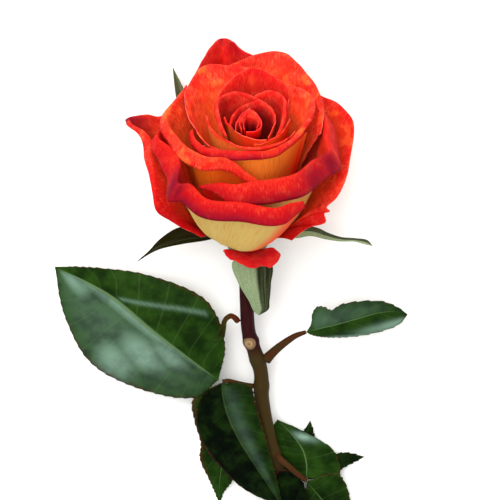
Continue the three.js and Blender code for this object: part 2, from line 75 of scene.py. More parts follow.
# Petals from the heart out. A rim is a list of [across, down, height above the seat in mm]: its
# place on the view grid and its height along the bloom's axis. A petal leaves its base radius, in
# mm, at the start angle and nears its rim at the end angle. The rim rolls outward by the roll, in
# mm, and the fold angle below level. Shares 0 to 1 set the colours: glow (orange) and deep (deep
# red) on the inner face, pale (tan) on the outer face and a crimson share on both, a deep crimson
# low in the heart that is partly the heart's own colour and partly painted shade where the heart
# lies deep in the bloom. A list runs along the rim. Blushes (crimson, inner face) and flushes
# (red, outer face) are spots [across 0 to 1, along 0 to 1, width, length, strength].
PETALS = {
    "petal_heart_curl": {
        "base": 1.0, "start": 88, "end": 86, "glow": 0.0, "pale": 0.1, "crimson_shade": 1.0,
        "flushes": [[0.5, 0.5, 3, 3, 0.95]],
        "rim": [[256.5, 130.5, 53.5], [258.5, 126, 54.5], [256, 120.5, 55], [250.5, 118.5, 55.5],
            [246, 120.5, 55], [243.5, 124.5, 54.5], [243.5, 129, 54], [245, 131.5, 53.5]],
    },
    "petal_heart_tip": {
        "base": 2.0, "start": 85, "end": 83, "glow": 0.3, "pale": 0.1, "crimson_shade": 1.0,
        "flushes": [[0.1, 0.9, 0.35, 1.5, 1.0], [0.9, 0.9, 0.3, 1.5, 0.9]],
        "rim": [[246, 134.5, 54], [256, 134, 54.3], [261.5, 128, 55.5], [257.5, 118.5, 56.6],
            [249.5, 113, 57.8], [244, 118, 56.6], [240.5, 123, 55.8], [240, 128, 55], [242, 132, 54.5]],
    },
    "petal_heart_wrap": {
        "base": 2.8, "start": 84, "end": 84, "glow": 0.3, "pale": 0.2, "crimson_shade": 0.9,
        "rim": [[235.5, 133, 54], [236.5, 126.5, 55], [239.5, 120.5, 56], [244.5, 115, 56.5],
            [250, 110.8, 57]],
    },
    "petal_heart_front": {
        "base": 3.1, "start": 82, "end": 82, "glow": 0.3, "pale": 0.2, "crimson_shade": 0.2,
        "flushes": [[0.7, 0.9, 0.6, 1.5, 0.85]],
        "roll": [0.6, 0.8, 0.3, 0.2, 0.2, 0],
        "rim": [[224.5, 120.5, 54], [227, 128, 54.5], [234, 133, 54.5], [245, 139.5, 55],
            [256, 142.8, 54.5], [266, 142.5, 54]],
    },
    "petal_heart_back": {
        "base": 3.4, "start": 82, "end": 86, "glow": 0.1, "pale": 0.2, "crimson_shade": 0.8,
        "roll": [0.5, 1, 0.8, 0.3, 0.3, 0.5, 0.6, 0.5, 0],
        "rim": [[230, 128, 54], [231.5, 120, 55.5], [239, 112, 56.5], [250, 106, 57], [262, 104, 56.5],
            [270, 110, 56], [274.5, 118, 55.5], [274.5, 127.5, 54.5], [268, 140, 54]],
    },
    "petal_inner_fold": {
        "base": 3.8, "start": 80, "end": 84, "glow": 0.2, "pale": 0.0, "crimson_shade": 0.2,
        "flushes": [[0.9, 0.9, 0.7, 1.5, 0.8]],
        "roll": [0, 0.4, 0.6, 0.5, 0],
        "rim": [[254, 147, 52.5], [263.5, 146.5, 53], [273, 142.5, 53.5], [283, 134, 54],
            [289.5, 120, 53.5]],
    },
    "petal_inner_front": {
        "base": 4.1, "start": 79, "end": 84, "glow": 0.2, "pale": 0.4, "crimson_shade": 0.2,
        "flushes": [[0.8, 0.8, 0.45, 1.5, 0.95]],
        "roll": [0.6, 0.8, 0.6, 0.6, 0.8, 0.8, 0.6, 0],
        "rim": [[206.5, 119, 52.5], [212.5, 135.5, 53], [224, 143.5, 53.5], [240, 150.5, 54],
            [255, 153, 54], [271, 150.5, 53.5], [286, 143, 53], [294, 134, 52.5]],
    },
    "petal_inner_left": {
        "base": 4.2, "start": 77, "end": 80, "glow": 0.15, "pale": 0.3, "crimson_shade": 0.4, "deep": 0.1,
        "roll": [0.8, 1.6, 2, 1.4, 0.8, 0.5, 0.3, 0],
        "rim": [[226, 141, 54], [219, 129, 55], [215.8, 115, 55.8], [217, 103.5, 56.5], [226, 97, 56.5],
            [238, 95, 56.5], [250, 98, 56.3], [262, 103.5, 55]],
    },
    "petal_inner_right": {
        "base": 4.4, "start": 72, "end": 78, "glow": 0.15, "pale": 0.3, "crimson_shade": 0.4, "deep": 0.1,
        "roll": [0, 0, 0.5, 1.2, 1.8, 1.6, 0.8],
        "rim": [[255, 98.5, 55], [266, 94, 55.5], [276.5, 94.5, 55.5], [284, 101.5, 55.5],
            [286, 113, 55.5], [285, 125, 55], [277.5, 138, 54]],
    },
    "petal_back_middle": {
        "base": 4.8, "start": 62, "end": 54, "glow": 0.35, "pale": 0.3, "crimson_shade": 0.2, "deep": 0.8,
        "rim": [[217, 104, 53.5], [226, 87, 56], [251, 71, 57], [270, 77, 56.5], [285, 87, 55],
            [288, 99, 52.5], [287, 113, 50.5]],
    },
    "petal_right_ring": {
        "base": 5.1, "start": 62, "end": 56, "fold": 30, "glow": 0.9, "pale": 0.4,
        "roll": [0, 0, 0.8, 1.5, 1.6, 1.4, 1, 0],
        "rim": [[289, 87, 55], [301, 92, 55.5], [311, 99, 55], [314, 113, 54], [305, 131, 53.5],
            [289, 147, 52.5], [271, 155, 52], [247, 158, 51.5]],
    },
    "petal_left_ring": {
        "base": 5.3, "start": 62, "end": [54, 50, 50, 50, 56, 64, 70, 72], "glow": 0.9, "pale": 0.4,
        "roll": [0, 0, 0, 0, 0, 0.4, 0.6, 0.5],
        "rim": [[253, 71, 56], [229, 68, 56], [204, 68, 56], [187, 93, 55], [187, 110, 53.8],
            [194, 128, 52.8], [206, 146.5, 52], [221, 154.5, 51], [236, 157.5, 50]],
    },
    "petal_front_ring": {
        "base": 5.6, "start": 66, "end": 80, "fold": 50, "glow": 0.2, "pale": 0.15, "deep": 0.7,
        "blushes": [[0.45, 1.0, 0.25, 0.025, 0.9]],
        "flushes": [[0.95, 0.6, 0.14, 0.6, 1.0], [0.05, 0.6, 0.15, 0.6, 0.8]],
        "roll": [2.2, 2.6, 3, 3.2, 3, 2.6, 2, 1.2, 0],
        "rim": [[190, 136, 49.5], [192, 147, 50], [201, 156.5, 50.6], [217, 161.5, 51],
            [247, 163, 51.5], [271, 161, 51.5], [289, 150, 51.5], [302, 138, 51], [306, 135, 50.5]],
    },
    "petal_back_right": {
        "base": 5.7, "start": 45, "end": [52, 48, 45, 45, 45, 48, 55, 60], "glow": 0.9, "pale": 0.4,
        "rim": [[230, 67, 54], [254, 57, 54], [281, 53, 54], [298, 65, 54], [316, 91, 53],
            [322, 110, 52], [321, 131, 50], [318, 137, 49]],
    },
    "petal_middle_left": {
        "base": 6.1, "start": 36, "end": [60, 56, 58, 64, 72, 74, 74, 74, 72],
        "fold": [30, 30, 35, 45, 52, 55, 55, 55, 55], "glow": 1.0, "pale": 0.0,
        "deep": [0.1, 0.3, 0.6, 0.4, 0.4, 0.5, 0.6, 0.7],
        "flushes": [[0.8, 0.9, 0.2, 0.3, 0.8]],
        "roll": [0, 1.5, 3.5, 4.5, 5, 5, 4.2, 3, 1],
        "rim": [[200, 80, 51], [180, 97, 50], [161, 125, 48], [172, 149, 47.5], [186, 164, 47.5],
            [204, 173, 48], [228, 174, 47.5], [253, 187, 43], [272, 193, 39]],
    },
    "petal_back_tall": {
        "base": 6.4, "start": 30, "end": 58, "glow": 0.1, "pale": 0.4, "deep": 0.5,
        "blushes": [[0.42, 1.0, 0.03, 0.04, 0.9], [0.6, 1.0, 0.15, 0.1, 0.5],
            [0.2, 1.0, 0.12, 0.08, 0.4]],
        "rim": [[187, 93, 53], [199, 69, 53.8], [209, 52, 54.4], [222, 38.5, 52.7], [233, 42, 53.2],
            [241, 51, 53.5], [256, 58, 51.5], [272, 66, 46]],
    },
    "petal_front_right": {
        "base": 6.8, "start": 34, "end": 76, "fold": 48, "glow": 0.2, "pale": 0.85, "deep": 0.8,
        "blushes": [[0.4, 0.95, 0.05, 0.2, 1.0], [0.46, 0.98, 0.04, 0.1, 0.8],
            [0.5, 0.97, 0.06, 0.15, 0.9], [0.6, 1.0, 0.35, 0.06, 0.9]],
        "flushes": [[0.97, 0.6, 0.12, 1.5, 1.0]],
        "roll": [0.5, 4, 6, 8, 8, 8, 8, 8, 8, 7, 4, 0.5],
        "rim": [[309, 88, 48], [321, 113, 47], [332, 131, 44.5], [337, 154, 41.5], [339.5, 170, 39.5],
            [323, 181, 40], [306, 195, 39], [281, 203, 39], [256, 207, 39], [231, 207, 39.5],
            [217, 196, 40.5], [200, 188, 41]],
    },
    "petal_front_left": {
        "base": 7.1, "start": 28, "end": 76, "fold": 45, "glow": 0.2, "pale": 1.0, "deep": 1.0,
        "blushes": [[0.38, 0.93, 0.06, 0.2, 1.0], [0.45, 0.93, 0.05, 0.14, 0.9],
            [0.6, 1.0, 0.3, 0.06, 1.0]],
        "flushes": [[1.0, 0.6, 0.09, 0.8, 0.85]],
        "roll": [1, 4, 7, 8, 7, 7, 6.5, 6.5, 6, 5, 2],
        "rim": [[164, 131, 46], [153, 146, 44], [160, 164, 42], [169, 181, 40], [170.5, 202, 37],
            [182, 203, 37], [202, 219, 36], [240, 223, 36.5], [276, 226.5, 37], [291, 219, 37],
            [304, 208, 37]],
    },
    "petal_outer_right": {
        "base": 7.4, "start": 32, "end": [55, 50, 50, 48, 46, 44, 42, 40, 34, 28, 26, 25, 20, 15, 12],
        "glow": [0.9, 0.9, 0.8, 0.7, 0.5, 0.3, 0.1, 0, 0, 0], "pale": 0.5,
        "deep": [0.3, 0.3, 0.6, 0.8, 0.5, 0.2, 0.1, 0.2, 0.5, 0.8, 0.9],
        "rim": [[275, 72, 46], [303, 84, 46], [320, 97, 45.5], [335, 104, 44], [347, 115, 43],
            [352.5, 128, 41], [351, 149, 39], [347, 172, 36], [335, 199, 30], [325, 208, 26],
            [327.5, 211.5, 25], [323.5, 214, 23.5], [325, 223, 20], [306, 229, 15], [292, 241, 10]],
    },
    "petal_outer_left": {
        "base": 7.7, "start": 14, "end": [55, 55, 55, 55, 50, 50, 45, 38, 28, 18, 12], "fold": 30,
        "glow": [0.3, 0.5, 0.8, 0.8, 0.7, 0.5, 0.3, 0.1, 0, 0], "pale": 0.5,
        "deep": [0.6, 0.5, 0.4, 0.2, 0.2, 0.4, 0.7, 0.9, 1, 1],
        "blushes": [[0.3, 1.0, 0.09, 0.3, 1.0]],
        "roll": [0, 0, 1, 2, 2, 3, 3, 2, 1, 0, 0],
        "rim": [[187, 86, 45], [165, 117, 43], [146, 117, 42], [126, 121, 39], [128, 126, 39],
            [142, 138, 39], [147, 160, 37], [152, 185, 33], [157, 210, 26], [176, 224, 17],
            [203, 237, 10]],
    },
    "petal_guard": {
        "base": 8.1, "start": 5, "end": -25, "glow": 0.0, "pale": 0.1, "deep": 0.3,
        "blushes": [[0.5, 0.5, 3, 3, 0.35]],
        "rim": [[223, 251, 3], [229, 259, 1.5], [240, 263, 1], [252, 268, 0], [262, 266.5, 0],
            [271, 267, 0], [280, 255, 2], [276, 250, 3]],
    },
}

# Sepals by the points inside their left edge, midrib and right edge, placed as rims are. The tone
# shares are how pale the left side and the right side are, 0 to 1: partly the sepal's own paler
# down and partly painted shade on a side that is folded away from the light.
SEPALS = {
    "sepal_left": {
        "tone_and_shades": [-0.05, 0],
        "base": [223, 236, -1], "tip": [137, 261.5, -10],
        "left": [[205, 228, -1], [179, 227.5, -3], [158, 240.5, -7], [148, 251.5, -9]],
        "rib": [[205, 234, -2], [180, 236, -4], [158, 245.5, -8], [148, 253, -9.5]],
        "right": [[205, 240.5, -3], [182, 244, -5], [159, 249.5, -9], [148, 254.5, -10]],
    },
    "sepal_right": {
        "tone_and_shades": [0.15, 0.9],
        "base": [271, 236, -1], "tip": [373.5, 246, -8],
        "left": [[297, 226, -1], [317, 227.5, -2], [329, 233, -3.5], [342, 237.3, -4.5],
            [355, 238.3, -5.5], [368, 240, -6.8]],
        "rib": [[297, 232, -2], [313, 231.5, -3], [326, 235.5, -4.5], [341, 239, -5.5],
            [355, 239.8, -6.3], [366, 242.2, -7.4]],
        "right": [[297, 238, -3], [311, 236, -4], [325, 239, -5.5], [341, 241.2, -6.3],
            [355, 241.3, -7], [364, 244, -7.8]],
    },
    "sepal_back_left": {
        "tone_and_shades": [0.25, 0.35],
        "base": [231, 223, -1], "tip": [173, 68, 45],
        "left": [[215, 211, 1], [200, 183, 8], [185, 143, 20], [176, 95, 37]],
        "rib": [[223, 210, 0], [209, 182, 7], [193, 142, 19], [181, 95, 36]],
        "right": [[231, 208, 1], [218, 181, 8], [201, 141, 20], [186, 95, 37]],
    },
    "sepal_back_right": {
        "tone_and_shades": [0.2, 0.2],
        "base": [263, 223, -1], "tip": [306, 124, 30],
        "left": [[264, 208, 1], [278, 183, 8], [294, 147, 20]],
        "rib": [[272, 210, 0], [287, 184, 7], [301, 147, 19]],
        "right": [[280, 212, 1], [296, 186, 8], [308, 148, 20]],
    },
    "sepal_front": {
        "tone_and_shades": [0.9, 0.1],
        "base": [251, 252.5, -0.6], "tip": [259, 315.5, -30],
        "left": [[232.5, 262, -6], [238.5, 283, -15], [249, 301, -23], [254, 311.5, -28]],
        "rib": [[255, 264, -5], [257.5, 283, -14], [260, 300, -22], [261.5, 310, -27]],
        "right": [[271.5, 264, -6], [271, 283, -15], [269.5, 301, -23], [268, 310, -28]],
    },
}

# Leaf blades by the same points, but [across, down, lift above the floor in mm]. Shades are painted
# shade: how dark the left side and the right side are, 0 to 1. Glare spots (painted reflection of
# the lights on the waxy face) and rusts (red brown) are spots, as blushes are, and glare lines are
# painted highlights along folds [across, along, to across, to along, width, strength].
LEAVES = {
    "bract": {
        "rusts": [[0.5, 0.1, 1.5, 0.45, 1]],
        "base": [240.6, 321.5, 11.4], "tip": [213, 343, 12.5],
        "left": [[236.5, 316.5, 12.3], [230.5, 314, 13], [223.5, 318.5, 13.5], [220, 327, 13.5],
            [216.5, 336, 13.2]],
        "rib": [[236.5, 320, 12.5], [230.5, 316.8, 13], [225, 320, 13.3], [222.5, 328.5, 13.2],
            [219.5, 338, 12.7]],
        "right": [[236, 324, 12.5], [231, 319.3, 13], [227, 322, 13.5], [225.5, 331, 13.5],
            [223, 340, 13.1]],
    },
    "right_leaf": {
        "painted_glares": [[0.9, 0.85, 0.12, 0.15, 0.8], [0.98, 0.6, 0.06, 0.2, 0.7],
            [0.3, 0.4, 0.3, 0.5, 0.2]],
        "base": [307, 333, 12.9], "tip": [410.5, 315.5, 0.3],
        "left": [[312, 325, 12.7], [313.5, 314, 12.2], [318, 307.8, 12.1], [325, 307.8, 12.3],
            [332, 311, 12.6], [342, 305.5, 12.3], [360, 302.3, 11], [384, 302.5, 7.8], [400, 308.5, 4]],
        "rib": [[313, 331.5, 13.2], [317, 330.5, 13.4], [321, 329.5, 13.5], [326, 328.3, 13.6],
            [333, 326.8, 13.6], [342, 324.3, 13.1], [359, 319.5, 11.9], [381, 313.5, 8.4],
            [397, 312.5, 4.6]],
        "right": [[311, 335, 12.5], [316, 336.5, 12.1], [322, 337.5, 11.8], [328, 338, 11.5],
            [336, 338.2, 11.3], [346, 338, 10.8], [362, 336.5, 9.5], [383, 332.3, 6.2], [402, 325, 3]],
    },
    "left_leaflet_front": {
        "shades": [1, 0.5],
        "painted_glares": [[0.64, 0.5, 0.12, 0.5, 0.15]],
        "base": [221, 385, 12.8], "tip": [284, 515, 11.5],
        "left": [[200, 402, 11.5], [195.5, 424, 10.8], [202.5, 448, 10.3], [221, 473, 10],
            [244, 495, 10]],
        "rib": [[223, 402, 14.2], [229.5, 424, 14.8], [241, 447, 14.3], [254, 468, 13.7],
            [271, 494, 12.7]],
        "right": [[249, 388, 14.5], [256, 410, 14.6], [264, 437, 14.4], [271, 462, 14],
            [277.5, 487, 13.2]],
    },
    "left_leaflet_big": {
        "painted_glares": [[0.3, 0.55, 0.3, 0.5, 0.22], [0.38, 0.3, 0.1, 0.1, 0.8],
            [0.28, 0.42, 0.12, 0.1, 0.95], [0.12, 0.52, 0.12, 0.08, 0.8], [0.47, 0.5, 0.03, 0.4, 0.7],
            [0.4, 0.85, 0.12, 0.12, 0.7]],
        "glare_lines": [[0.55, 0.57, 0.93, 0.355, 0.014, 0.4]],
        "base": [218, 382, 12.6], "tip": [52, 267, 0.3],
        "left": [[193, 400, 9], [140, 392, 6.5], [88, 365, 3], [61, 315, 1.5]],
        "rib": [[184, 357, 13], [151, 332, 12.5], [111, 298, 8.5], [82, 281, 4]],
        "right": [[224, 345, 11.5], [206, 302, 11.5], [148, 276, 8.5], [90, 268, 4]],
    },
    "left_leaflet_behind": {
        "rusts": [[0, 0.12, 0.08, 0.12, 0.9], [0, 0.6, 0.05, 0.3, 0.7]],
        "base": [220, 385.5, 11.7], "tip": [219, 514, 0.4],
        "left": [[192.5, 402, 8], [193.5, 424, 5.4], [200, 448, 3.6], [199, 465, 2.6],
            [208, 486, 1.4], [214, 500, 0.8]],
        "rib": [[206, 405, 9], [210, 426, 7], [216, 448, 4.8], [221, 466, 3.6], [219, 486, 2.2],
            [218, 500, 1.2]],
        "right": [[222, 408, 9], [230, 430, 7], [237, 450, 5], [240, 468, 3.8], [230, 490, 2.4],
            [222, 501, 1.4]],
    },
    "lower_leaflet_top": {
        "shades": [0.1, 0.1],
        "painted_glares": [[0.75, 0.7, 0.22, 0.07, 1]],
        "base": [308, 484, 9.4], "tip": [278, 424, 3.5],
        "left": [[284, 478, 4.6], [273, 460, 4.2], [268, 441, 3.4]],
        "rib": [[308, 470, 7.5], [304, 455, 6.5], [292, 438, 5]],
        "right": [[341, 484, 5.6], [337, 458, 4.5], [308, 438, 4]],
    },
    "lower_leaflet_left": {
        "shades": [1, 0.9],
        "base": [305, 489, 10.5], "tip": [278, 552, 9.5],
        "left": [[292, 477, 11.8], [278, 477, 11.7], [273, 512, 11]],
        "rib": [[298, 506, 11.5], [288, 528, 10.7]],
        "right": [[310, 512, 10.5], [302, 534, 9]],
    },
    "lower_leaflet_right": {
        "shades": [0, 0.3],
        "base": [308.6, 487.6, 9.6], "tip": [352, 545, 0.3],
        "left": [[308, 508, 7.5], [322, 530, 4]],
        "rib": [[322, 505, 8], [338, 524, 4.5]],
        "right": [[340, 481, 7.2], [354, 512, 4]],
    },
    "lower_leaflet_side": {
        "shades": [0.9, 0.9],
        "base": [308.2, 486, 8.9], "tip": [368, 463, 0.5],
        "left": [[326, 466, 3.4], [345, 459, 2]],
        "rib": [[328, 476, 4.2], [345, 467, 2.4]],
        "right": [[334, 481, 4], [350, 472, 2]],
    },
    "lower_leaflet_tip": {
        "shades": [0.5, 0.5],
        "base": [307, 484, 8.2], "tip": [312, 425, 1],
        "left": [[298, 465, 4], [301, 446, 2.2]],
        "rib": [[306, 462, 4.3], [308, 443, 2.6]],
        "right": [[316, 462, 3.5], [316, 443, 2]],
    },
}

# Leaf stalks by their radii at the stem and the leaf in mm and the path they follow, placed as
# leaves are. A stalk is swollen at the stem by a share that fades along it.
STALKS = {
    "right_leaf_stalk": {
        "radii": [1.5, 0.7],
        "path": [[266.5, 361, 10.2], [276, 351.5, 11.2], [286, 343.5, 12], [296, 337, 12.6],
            [306.6, 333, 12.85]],
    },
    "left_leaf_stalk": {
        "radii": [0.8, 0.7],
        "path": [[252.5, 389, 9.9], [240, 386, 11.2], [228, 383, 12.2], [222, 383.5, 12.6]],
    },
    "lower_leaf_stalk": {
        "radii": [1.1, 0.9],
        "path": [[277, 460, 9.6], [281, 464, 12.2], [288, 470, 13.2], [298, 479, 12.4],
            [307, 486, 9.8]],
    },
}
STALK_SWELL = 0.35
STALK_SWELL_FADE = 6
STALK_RINGS = 40
STALK_SIDES = 16

# The stem below the hip, placed as leaves are, down to where the real length goes on unseen. Its
# rings crowd toward the hip, its neck is thinner by a share, and swellings, each a height and a
# length, mark the scar and the leaf joints.
STEM_PATH = [
    [246, 275, 11.9], [246.5, 300, 11.6], [249, 335, 10.7], [255, 354, 10.3], [261, 374, 9.9],
    [262, 400, 9.4], [268, 437, 8.8], [276, 468, 8.1], [285, 505, 7.4], [299, 620, 5.2],
]
STEM_END = np.array([GRID * 66, -200 * MM, 2.75 * MM]) + ORIGIN_SHIFT
STEM_RINGS = 320
STEM_SIDES = 32
STEM_CROWDING = 1.6
NECK_SHARE = 0.86
NECK_LENGTH = 80 * MM
HIP_DEPTH = 13 * MM
HIP_RADIUS = 8.2 * MM
HIP_BEND = 1.2
CUT_SLANT = 0.5
CUT_LENGTH = 12 * MM
CUT_EDGE_ANGLE = math.radians(50)
SCAR = [249.5, 344.5, 12.5]
SCAR_SWELL = [0.5 * MM, 1.6 * MM]
JOINT_SWELL = [0.35 * MM, 2.2 * MM]

# A tube starts as a ball of radius 1, whose points this near its axis are its poles
POLE_REACH = 1e-4

# How a petal starts just off the seat with a share of its turn round the axis, and how its rim
# rolls over: the length of the roll and the pull of its ends, in rolls, and how far it tucks in.
# Waves are [count across, count along, step from petal to petal, height]. They grow toward the
# rim and are lower on inner petals.
PETAL_GAP = 0.3 * MM
PETAL_GRID = (72, 54)
PLAIN_FOLD = 45
RIM_TUCK = 0.15
ROLL_LENGTH = 1.6
ROLL_PULL = 1.5
BASE_TURN = 0.4
WAVES = [[2.3, 0, 0.37, 0.8], [5.3, 0.4, 0.61, 0.4], [9.7, 0, 0.23, 0.35]]
FINE_WAVE_START = 0.85
RIPPLE_GROWTH = 1.5
INNER_RIPPLE = 0.25
HEART_HEIGHT = 50 * MM

# How blades are cut into teeth that fade out toward the ends and the midrib, how their side veins
# sweep toward the tip, and how wide a blade must be to swell in full or take its painted glare in full
BLADE_GRID = (40, 120)
RIB_BORDER = (0.46, 0.54)
TOOTH_BEND = 1.3
TOOTH_FADE = (0.08, 0.35)
TOOTH_REACH = 0.8
FEWEST_VEINS = 5
VEIN_SPACING = 7 * MM
VEIN_SWEEP = 0.16
VEIN_BEND = 0.8
VEIN_SHIFT = 0.25
CREASE_REACH = 0.12
FULL_SWELL_WIDTH = 8 * MM
FULL_GLARE_WIDTH = 6 * MM

# Values that materials share: the width and length of a middling petal and sepal, the size of a
# bark fibre, drawn coarse enough to show, and the skins of petals and bark
PATCH_ROUGHNESS = 0.55
PETAL_SPAN = (51 * MM, 48 * MM)
SEPAL_SPAN = (8 * MM, 30 * MM)
BARK_FIBRE = (0.8 * MM, 20 / 3 * MM, 0.8 * MM)
SCAR_RING = 0.45 * MM
# Where the deep crimson of the heart, partly painted shade, sets in along a petal
CRIMSON_SHADE_RANGE = (1, 0.86)
PETAL_IOR = 1.4
LEAF_IOR = 1.45
PETAL_SKIN = {
    "IOR": PETAL_IOR,
    "Specular IOR Level": 0.05,
    "Subsurface Weight": 0.25,
    "Subsurface Scale": 0.8 * MM,
}
BARK_SKIN = {"Roughness": 0.5, "IOR": LEAF_IOR, "Specular IOR Level": 0.06}

# The stage in metres: the floor, each light's place and size, and how far the camera sees
FLOOR_SIZE = 6
MAIN_LIGHT = ((-0.4, 1.5, 1.3), 1.3)
UPPER_LIGHT = ((-0.2, 0.7, 1.8), 1.2)
CAMERA_FAR = 20


def linear(value):
    """An sRGB hex colour as linear red, green and blue."""
    channels = [int(value[k : k + 2], 16) / 255 for k in (1, 3, 5)]
    return [c / 12.92 if c <= 0.04045 else ((c + 0.055) / 1.055) ** 2.4 for c in channels]


def colour_setting(name, description, value):
    """A colour setting with an sRGB hex default."""
    return bpy.props.FloatVectorProperty(
        name=name, description=description, subtype="COLOR", size=3, min=0, max=1, default=linear(value)
    )


def length_setting(name, description, value):
    """A length setting with a default in metres."""
    return bpy.props.FloatProperty(
        name=name, description=description, unit="LENGTH", min=0, default=value, precision=5
    )


def light_setting(name, description, value, unit="POWER"):
    """A light's brightness setting, in watts unless another unit is given."""
    return bpy.props.FloatProperty(name=name, description=description, unit=unit, min=0, default=value)


class RosePetalSettings(bpy.types.PropertyGroup):
    """Sizes and colours of the petals."""

    thickness: length_setting("Thickness", "Thickness of a petal", 0.25 * MM)
    ripple: length_setting("Ripple", "Height of the slow waves in a petal", 0.35 * MM)
    red: colour_setting("Red", "Main colour of the inner face", "#DE0F16")
    deep: colour_setting("Deep red", "Darker patches of the inner face", "#AA030C")
    # Lighter fibres and flecks: partly the petal's own mottling and partly painted highlight.
    bright: colour_setting("Bright red", "Lighter fibres of the inner face", "#FF6244")
    glow: colour_setting("Glow", "Orange toward the base of the inner face", "#FF7E30")
    blush: colour_setting("Blush", "Dark crimson of bruised tips and rims", "#58041E")
    # Deep crimson low in the heart: partly the heart's own colour and partly painted shade where it lies
    # deep in the bloom.
    crimson_shade: colour_setting("Dusk", "Deep crimson inside the heart", "#52020C")
    # Pale pink painted highlight along the thin edges of the petals.
    edge: colour_setting("Edge", "Pink of the thin edge", "#E8543F")
    amber: colour_setting("Amber", "Orange of the inner petals' outer face", "#FF7C1C")
    tan: colour_setting("Tan", "Tan yellow of the front petals' outer face", "#BA9D56")
    ochre: colour_setting("Ochre", "Brownish streaks of the outer face", "#B06A20")
    flame: colour_setting("Flame", "Red toward the rim and ends of the outer face", "#D40C0C")


class RoseLeafSettings(bpy.types.PropertyGroup):
    """Sizes and colours of the leaves and sepals."""

    thickness: length_setting("Thickness", "Thickness of a leaf", 0.35 * MM)
    tooth: length_setting("Tooth", "Length of one tooth along the margin", 2.6 * MM)
    tooth_depth: length_setting("Tooth depth", "How far a tooth stands out", 0.45 * MM)
    pucker: length_setting("Pucker", "Height of the swelling along side veins", 0.35 * MM)
    upper: colour_setting("Upper", "Main colour of a leaf's upper face", "#1E380C")
    upper_dark: colour_setting("Upper dark", "Darker patches of the upper face", "#0D1E05")
    # Painted shade on leaves and leaf halves that lie in shadow.
    shade: colour_setting("Shade", "Nearly black green of the darkest leaves", "#020602")
    # Painted reflection: the pale bluish glare of the lights on the waxy face.
    painted_glare: colour_setting("Glaze", "Pale bluish green of waxy glare", "#6C8A78")
    vein: colour_setting("Vein", "Colour of the veins above", "#56703E")
    under: colour_setting("Under", "Colour of a leaf's under face", "#4C6240")
    margin: colour_setting("Margin", "Reddish brown of the leaf's margin", "#4A1C10")
    # A sepal's paler and darker greens follow its tone shares: partly its own down and partly painted shade
    # on the side folded away from the light.
    sepal: colour_setting("Sepal", "Downy grey green of a sepal's paler parts", "#7C8C66")
    sepal_dark: colour_setting("Sepal dark", "Olive green of a sepal's darker parts", "#161402")
    down: colour_setting("Down", "Pale grey green of fine hairs", "#9CA88C")


class RoseStemSettings(bpy.types.PropertyGroup):
    """Sizes and colours of the stem and the leaf stalks."""

    radius: length_setting("Radius", "Radius of the stem at its thickest", 2.7 * MM)
    maroon: colour_setting("Maroon", "Dark red of the upper stem", "#26080C")
    olive: colour_setting("Olive", "Green brown of the lower stem", "#30260E")
    green: colour_setting("Green", "Green of the hip", "#4A5C38")
    scar: colour_setting("Scar", "Beige of the old leaf scar", "#8A7050")
    pith: colour_setting("Pith", "Pale middle of the cut end", "#A8A486")
    stalk: colour_setting("Stalk", "Red brown of the leaf stalks", "#3C1E0A")


class RoseStageSettings(bpy.types.PropertyGroup):
    """The camera, floor and lights."""

    distance: length_setting("Camera distance", "From the camera to the flower", 1.6)
    floor: colour_setting("Floor", "Colour of the floor", "#F4F3F1")
    sky_light: light_setting("Sky light", "Brightness of the light from all round", 1.0, "NONE")
    main_light: light_setting("Main light", "Power of the light beyond the bloom", 32)
    upper_light: light_setting("Upper light", "Power of the light above the flower", 20)


def cubic(start, end, leave, arrive, share):
    """A value on the cubic from start to end with the given slopes, at share 0 to 1."""
    square = share * share
    cube = square * share
    return (
        (2 * cube - 3 * square + 1) * start
        + (cube - 2 * square + share) * leave
        + (3 * square - 2 * cube) * end
        + (cube - square) * arrive
    )


def smooth_through(points, places):
    """Points at places 0 to 1 on a smooth curve through the given points, as rows."""
    points = np.asarray(points, float)
    steps = len(points) - 1
    scaled = np.clip(np.asarray(places, float), 0, 1) * steps
    index = np.minimum(scaled.astype(int), steps - 1)
    share = (scaled - index)[:, None]
    padded = np.vstack([2 * points[0] - points[1], points, 2 * points[-1] - points[-2]])
    before, first, second, after = (padded[index + k] for k in range(4))

    def root_gap(near, far):
        """The square root of the gap, which keeps the curve from looping where points are uneven."""
        return np.sqrt(np.maximum(np.linalg.norm(far - near, axis=1, keepdims=True), TINY))

    left, own, right = root_gap(before, first), root_gap(first, second), root_gap(second, after)
    leave = (first - before) / left - (second - before) / (left + own) + (second - first) / own
    arrive = (second - first) / own - (after - first) / (own + right) + (after - second) / right
    return cubic(first, second, leave * own, arrive * own, share)


def ease(value, low, high):
    """0 below low, 1 above high and smooth between."""
    share = np.clip((value - low) / (high - low), 0, 1)
    return share * share * (3 - 2 * share)


def bloom_points(places):
    """View grid places with heights in mm, as points on the bloom's own axes in metres."""
    places = np.array(places, float)
    right = (places[:, 0] - SEAT_ACROSS) * GRID
    up = (SEAT_DOWN - places[:, 1]) * GRID
    height = places[:, 2] * MM
    back = (up - height * math.cos(AXIS_TURN)) / math.sin(AXIS_TURN)
    return np.column_stack([right, back, height])


def lay_bloom(points):
    """Points on the bloom's own axes, laid down in the model's frame."""
    up = points[:, 2] * math.cos(AXIS_TURN) + points[:, 1] * math.sin(AXIS_TURN)
    near = points[:, 2] * math.sin(AXIS_TURN) - points[:, 1] * math.cos(AXIS_TURN)
    along = up * math.cos(SIGHT_LEAN) + near * math.sin(SIGHT_LEAN)
    lift = HIP_LIFT - up * math.sin(SIGHT_LEAN) + near * math.cos(SIGHT_LEAN)
    return np.column_stack([points[:, 0], along, lift]) + ORIGIN_SHIFT


def laid_points(places):
    """View grid places with heights above the petals' seat in mm, as points in the model's frame."""
    return lay_bloom(bloom_points(places))


